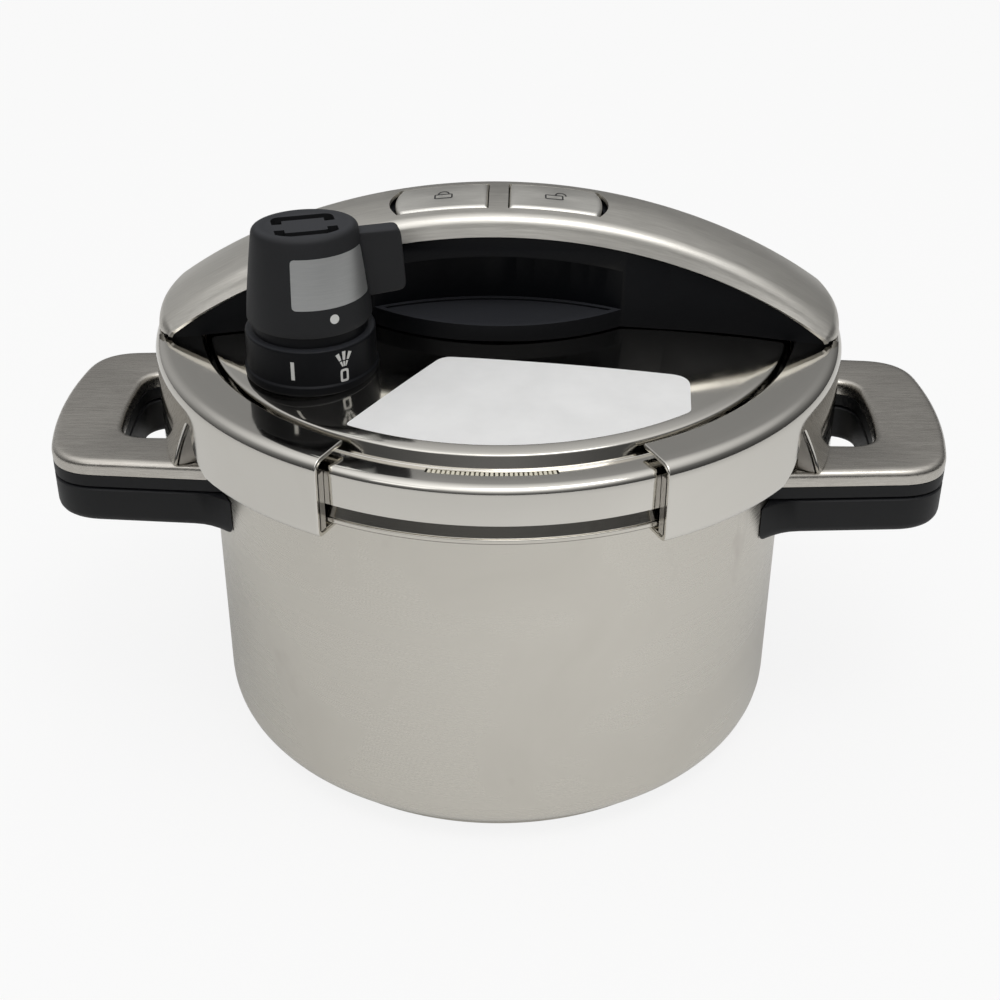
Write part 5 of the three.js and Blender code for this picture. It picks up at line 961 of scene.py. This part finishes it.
def knob_half(height):
    """Half length and half width of the knob: from a circle at the foot to an oval at the top, as t^1.25."""
    t = np.clip((height - KNOB_LOW) / (KNOB_TOP - KNOB_LOW), 0, 1) ** 1.25
    return KNOB_R + (KNOB_TOP_A - KNOB_R) * t, KNOB_R + (KNOB_TOP_B - KNOB_R) * t


def turned_knob(points):
    """Turns points about the knob's axis to its place at rest, and sets them on the lid."""
    cosine, sine = math.cos(math.radians(KNOB_TURN)), math.sin(math.radians(KNOB_TURN))
    x, y, z = points[..., 0], points[..., 1], points[..., 2]
    return np.stack([REG_X + x * cosine - y * sine, REG_Y + x * sine + y * cosine, z], -1)


def knob():
    """Oval rings stacked up the knob's wall, closed by a slightly dished top, and a second stack for its
    hollow. Two bracket-shaped vents are cut into the top."""
    segments = 96
    angle = np.arange(segments) * TURN / segments
    top, roof = KNOB_TOP - KNOB_EDGE, KNOB_TOP - KNOB_WALL
    levels = [(KNOB_LOW, KNOB_WALL), (KNOB_LOW, 0.5), (KNOB_LOW + 0.15, 0.15), (KNOB_LOW + 0.5, 0.0)]
    levels += [(height, 0.0) for height in np.linspace(KNOB_LOW, top, 14)[1:]]
    levels += [(KNOB_TOP - KNOB_EDGE * (1 - math.sin(a)), KNOB_EDGE * (1 - math.cos(a)))
               for a in np.linspace(0, math.pi / 2, 7)[1:]]
    hollow = [(roof, KNOB_WALL + 1.0), (KNOB_LOW + 12, KNOB_WALL), (KNOB_LOW, KNOB_WALL)]

    def oval(height, inset):
        a, b = knob_half(height)
        return np.column_stack([(a - inset) * np.cos(angle), (b - inset) * np.sin(angle), height + 0 * angle])

    rows = [oval(*level) for level in levels]
    rim = rows[-1]
    rows += [rim * [share, share, 0] + [0, 0, KNOB_TOP - sink]
             for share, sink in ((0.93, 0.0), (0.88, 0.35), (0.5, 0.45), (0.0, 0.5))]
    rows += [rim * 0 + [0, 0, roof]] + [oval(*level) for level in hollow]
    keep = np.ones((len(rows) - 1, segments), dtype=bool)
    keep[-len(hollow) - 1] = False
    piece = finish("regulator_body", turned_knob(np.array(rows)),
                   quads(len(rows), segments, wrap_columns=True, keep=keep), BLACK_MATT, "regulator_knob",
                   "black_plastic", ["regulator_knob"], 45)
    cutters = [vent_cutter(way) for way in (1, -1)]
    for cutter in cutters:
        modifier = piece.modifiers.new("vent", "BOOLEAN")
        modifier.object = cutter
        modifier.solver = "MANIFOLD"
    bpy.context.view_layer.update()
    mesh = bpy.data.meshes.new_from_object(piece.evaluated_get(bpy.context.evaluated_depsgraph_get()))
    piece.modifiers.clear()
    piece.data = coat(mesh, BLACK_MATT)
    mesh.set_sharp_from_angle(angle=math.radians(45))
    for cutter in cutters:
        bpy.data.objects.remove(cutter)


def vent_cutter(way):
    """A bracket of square section, to be cut out of the knob's top: a ribbon along its path, raised."""
    path = fillet([[-8.2, 2.4, 0], [-8.2, 6.5, 1.4], [8.2, 6.5, 1.4], [8.2, 2.4, 0]], 5) * way
    ribbon = strip(path - [0, 0.6], 3.2)
    low = np.concatenate([ribbon, np.full((*ribbon.shape[:2], 1), KNOB_TOP - 5.0)], -1).reshape(-1, 3)
    mesh = bpy.data.meshes.new("vent_cutter")
    mesh.from_pydata((turned_knob(np.concatenate([low, low + [0, 0, 8]])) * MM).tolist(), [],
                     slab_faces(*ribbon.shape[:2]))
    return show("vent_cutter", merged(mesh, 45, True))


def lever():
    """The knob's lever: an upright plate with rounded corners, whose outline draws in as r (1 - cos a) while
    its side goes in as r (1 - sin a), which rounds both of its edges."""
    outline = fillet([[9, WING_LOW + 0.6, 0], [WING_REACH, WING_LOW + WING_SLANT, 3.0],
                      [WING_REACH - 1.5, WING_TOP, 2.6], [9, WING_TOP - 0.5, 0]], 7)
    middle = outline.mean(0)
    pull = (middle - outline) / np.linalg.norm(middle - outline, axis=1)[:, None]
    quarter = np.linspace(math.pi / 2, 0, 6)
    side = WING_ROUND * (1 - np.column_stack([np.sin(quarter), np.cos(quarter)])) - [WING_THICK / 2, 0]

    def loop(across, inset):
        drawn = outline + pull * inset
        return np.column_stack([drawn[:, 0], np.full(len(drawn), across), drawn[:, 1]])

    grid = np.array([loop(*station) for station in np.concatenate([side, (side * [-1, 1])[::-1]])])
    finish("regulator_lever", turned_knob(grid), tube_faces(*grid.shape[:2]), BLACK_MATT, "regulator_knob",
           "black_plastic", (), 45)


def collar():
    """Turned collar under the knob: spread foot that follows the crown, upright wall, neck and spigot."""
    neck, spigot = KNOB_LOW - SEAT, KNOB_LOW + 4
    profile = fillet([
        [9, 152.6, 0], [COLLAR_FLANGE_R - 1.2, 151.4, 0], [COLLAR_FLANGE_R, 152.6, 0.8],
        [COLLAR_FLANGE_R, 154.9, 0.7], [COLLAR_R, 155.6, 0.5], [COLLAR_R, COLLAR_TOP, 0.9],
        [COLLAR_NECK_R, COLLAR_TOP, 0.3], [COLLAR_NECK_R, neck, 0.4], [13, neck, 0.2], [13, spigot, 0.2],
        [11, spigot, 0.2], [11, 163.2, 0], [9, 161.2, 0], [9, 152.6, 0],
    ], 4)
    finish("regulator_base", *lathe(profile, 128, (REG_X, REG_Y)), BLACK, "lid", "black_plastic",
           ["regulator_collar"], 50)


def tapered(start, end, width_start, width_end):
    """A straight mark whose width changes evenly from one end to the other."""
    path = np.linspace(start, end, 4)
    half = strip(path, 1.0) - path
    return path + half * np.linspace(width_start, width_end, 4)[None, :, None]


def signs():
    """Plain marks on the collar: an upright bar for closed, and steam over a ring for open."""
    rays = []
    for lean in (-1, 0, 1):
        rays += [tapered([0.5 * lean, 160.9], [1.15 * lean, 162.6], 0.45, 0.75),
                 tapered([1.3 * lean, 163.0], [2.3 * lean, 166.0 - 0.6 * abs(lean)], 0.8, 1.3)]
    loop = fillet([[0, 155.6, 0], [1.45, 155.6, 1.0], [1.45, 160.0, 1.0], [-1.45, 160.0, 1.0],
                   [-1.45, 155.6, 1.0], [0, 155.6, 0]], 4)
    middle = np.array([0, 157.8])
    ring_mark = np.stack([middle + (loop - middle) * [0.48, 0.64], loop])
    radius = COLLAR_R + 0.05
    for name, facing, parts in (("mark_closed", -99.6, [strip([[0, 157.6], [0, 163.8]], 1.15)]),
                                ("mark_open", -54, rays + [ring_mark])):
        def on_wall(flat):
            """Lays (across, height) points on the collar's wall, facing an angle."""
            return about_axis(radius, math.radians(facing) + flat[:, 0] / radius, flat[:, 1], (REG_X, REG_Y))

        ribbons(name, parts, on_wall, PAINT, "lid", "grey_plastic", (REG_X, REG_Y, 160))


def on_knob(turn, height):
    """Points 0.06 mm proud of the knob's oval wall, by the ellipse's own angle and the height."""
    a, b = knob_half(height)
    return turned_knob(np.stack([(a + 0.06) * np.cos(turn), (b + 0.06) * np.sin(turn), height], -1))


def plate():
    """A blank silver film on the knob's front: a rounded rectangle of angle by height, laid on the oval wall.
    Each row ends at a - r + sqrt(r^2 - d^2), where d is how far the row reaches into the corner."""
    low, high, left, right, corner, radius = 180.0, 195.2, math.radians(-113), math.radians(-21), 1.2, 16.5
    half_high, half_long = (high - low) / 2, (right - left) / 2 * radius
    ends = np.concatenate([[-1, -0.985, -0.95, -0.9], np.linspace(-0.8, 0.8, 9), [0.9, 0.95, 0.985, 1]])
    up = ends[:, None] * half_high
    into = np.clip(np.abs(up) - (half_high - corner), 0, corner)
    limit = half_long - corner + np.sqrt(np.maximum(corner ** 2 - into ** 2, 0))
    turn = (left + right) / 2 + np.linspace(-1, 1, 33)[None, :] * limit / radius
    grid = on_knob(turn, (low + high) / 2 + up + 0 * turn)
    film("regulator_plate", grid, quads(*grid.shape[:2]), SILVER, "regulator_knob", "grey_plastic",
         (REG_X, REG_Y, KNOB_LOW))


def dot():
    """A round white spot low on the knob's front, above the mark that the knob is set to."""
    share = np.linspace(0, 1, 5)[:, None] * 1.45
    angle = np.linspace(0, TURN, 25)[None, :]
    grid = on_knob(math.radians(-74) + share * np.cos(angle) / 18.6, 176.6 + share * np.sin(angle))
    film("regulator_dot", grid, quads(*grid.shape[:2]), PAINT, "regulator_knob", "grey_plastic",
         (REG_X, REG_Y, KNOB_LOW))


# ---- lid label


def label():
    """A blank white film on the crown, 0.08 mm proud: its outline, with rounded corners and an outer edge on
    an arc round the lid's axis, is drawn in towards a point in its middle, and its height follows the
    crown."""
    angle = np.radians(np.linspace(-49.4, -118.9, 36))
    arc = LABEL_R * np.stack([np.cos(angle), np.sin(angle)], 1)
    rounding = np.zeros((len(arc), 1))
    rounding[[0, -1], 0] = 7, 6.5
    outline = fillet([[20, -44.4, 0], [61.8, -49, 6.5], *np.hstack([arc, rounding]), [-17.3, -40.4, 6],
                      [20, -44.4, 0]], 7)
    outline = densified(outline, 3)[:-1]
    middle = np.array([10.0, -66.0])
    flat = middle + (outline - middle) * np.linspace(0, 1, 13)[:, None, None]
    radius = np.hypot(flat[..., 0], flat[..., 1])
    grid = np.concatenate([flat, (crown(radius) + 0.08)[..., None]], -1)
    film("lid_label", grid, quads(*grid.shape[:2], wrap_columns=True), PAPER, "lid", "silicone", (0, 0, 0))


# ---- carried-over nodes


def dress_nodes():
    """Every node keeps its shape and takes the finish of its slot."""
    finishes = {
        "black_plastic": BLACK, "grey_plastic": GREY, "red_plastic": RED, "silicone": SILICONE,
        "brass": BRASS, "polished_steel": POLISH, "brushed_steel": BRUSH_COVER, "satin_steel": SATIN,
        "plain_steel": MILL,
    }
    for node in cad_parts.values():
        for slot in node.material_slots:
            slot.material = finishes[slot.name.split(".")[0]]


def body_parts():
    """The visible plain solids: bridge body and brackets with rounded edges, rack arms without."""
    refined("bridge_body", "lid", BLACK, 0.5)
    for _, tag in SIDES:
        refined("handle_bracket_" + tag, "pot", MILL, 0.25)
        refined("rack_arm_" + tag, "jaw_" + tag, MILL, 0.0)


# ---- room and camera


def floor():
    """A wide pale floor. Glossy rays see a painted glow on it near the object alone, and the camera sees it
    pale all over."""
    mesh = bpy.data.meshes.new("floor")
    mesh.from_pydata([(-12, -12, 0), (12, -12, 0), (12, 12, 0), (-12, 12, 0)], [], [(0, 1, 2, 3)])
    s = Shader("pale_floor", Roughness=0.9)
    mesh.materials.append(s.feed(colour=s.blend(s.cloud(3.0, 3.0), rgb(0.83, 0.83, 0.825),
                                                rgb(0.85, 0.85, 0.845))))
    x, y, _ = s.split(s.place())
    # painted light: a pool of white glow round a point near the object, which only glossy rays see on the
    # floor
    x, behind, ahead = x - 0.12, (y + 0.22).clamp(), (-0.22 - y).clamp() * 2.2
    near = (1.0 - ((x * x + behind * behind + ahead * ahead) ** 0.5) * 2.6).clamp()
    path = s.node("ShaderNodeLightPath")
    seen = (s.out(path, "Is Camera Ray") * 0.85 + s.out(path, "Is Glossy Ray") * 0.55 * near
            + s.out(path, "Is Transmission Ray") * 0.85)
    glow = s.node("ShaderNodeEmission", {}, {0: rgb(1, 1, 1), 1: 1.0})
    mixed = s.node("ShaderNodeMixShader", {}, {0: seen.clamp(), 1: s.out(s.principled), 2: s.out(glow)})
    s.link(mixed, s.output.inputs[0])
    show("floor", mesh)


def surround():
    """A grey world that grows paler upwards, with four soft glows. Each is strength (direction .
    aim)^power."""
    world = bpy.data.worlds.new("studio")
    bpy.context.scene.world = world
    world.use_nodes = True
    sky = Nodes(world.node_tree)
    direction = sky.out(sky.node("ShaderNodeTexCoord"), "Generated")
    upward = sky.split(direction)[2]
    level = sky.ramp(upward, (0.0, 0.05), (0.3, 0.09), (0.55, 0.16), (0.8, 0.60), (1.0, 0.9993))
    for aim, strength, power in (((0.35, 0.66, 0.66), 0.20, 5.0), ((-0.70, 0.25, 0.67), 0.25, 6.0),
                                 ((0.0, -0.55, 0.83), 1.0, 7.0), ((-0.60, 0.78, 0.18), 0.30, 10.0)):
        product = sky.node("ShaderNodeVectorMath", {"operation": "DOT_PRODUCT"}, {0: direction, 1: aim})
        level = level + sky.out(product, 1).clamp() ** power * strength
    background = sky.node("ShaderNodeBackground", {}, {0: level, 1: 1.0})
    sky.link(background, sky.node("ShaderNodeOutputWorld").inputs[0])


def lamp(name, place, target, size, watts):
    """A rectangular lamp that looks from a place at a target, in metres."""
    light = bpy.data.lights.new(name, "AREA")
    light.shape = "RECTANGLE"
    light.size, light.size_y = size
    light.energy = watts
    lamp_object = show(name, light)
    lamp_object.location = place
    lamp_object.rotation_euler = (Vector(target) - Vector(place)).to_track_quat("-Z", "Y").to_euler()


def camera():
    lens = bpy.data.cameras.new("camera")
    lens.lens = 59.94
    lens.sensor_width = 36
    lens.shift_x, lens.shift_y = 0.0131, 0.0076
    lens.clip_start, lens.clip_end = 0.01, 50
    viewer = show("camera", lens)
    viewer.location = (0.0088, -0.522, 0.3958)
    viewer.rotation_euler = (math.radians(58.2), 0, math.radians(1.4))
    bpy.context.scene.camera = viewer


dress_nodes()
pot()
handles()
lid()
relief_ribs()
jaws()
bridge_cover()
buttons()
springs()
padlocks()
knob()
lever()
collar()
signs()
plate()
dot()
label()
body_parts()
floor()
surround()
lamp("ceiling", (0.22, -0.35, 1.15), (0.02, 0, 0.1), (0.6, 0.45), 2.0)
lamp("front_left", (-0.7, -1.1, 1.1), (0, 0, 0.1), (0.5, 0.4), 0.5)
camera()
bpy.context.scene.view_settings.view_transform = "Standard"
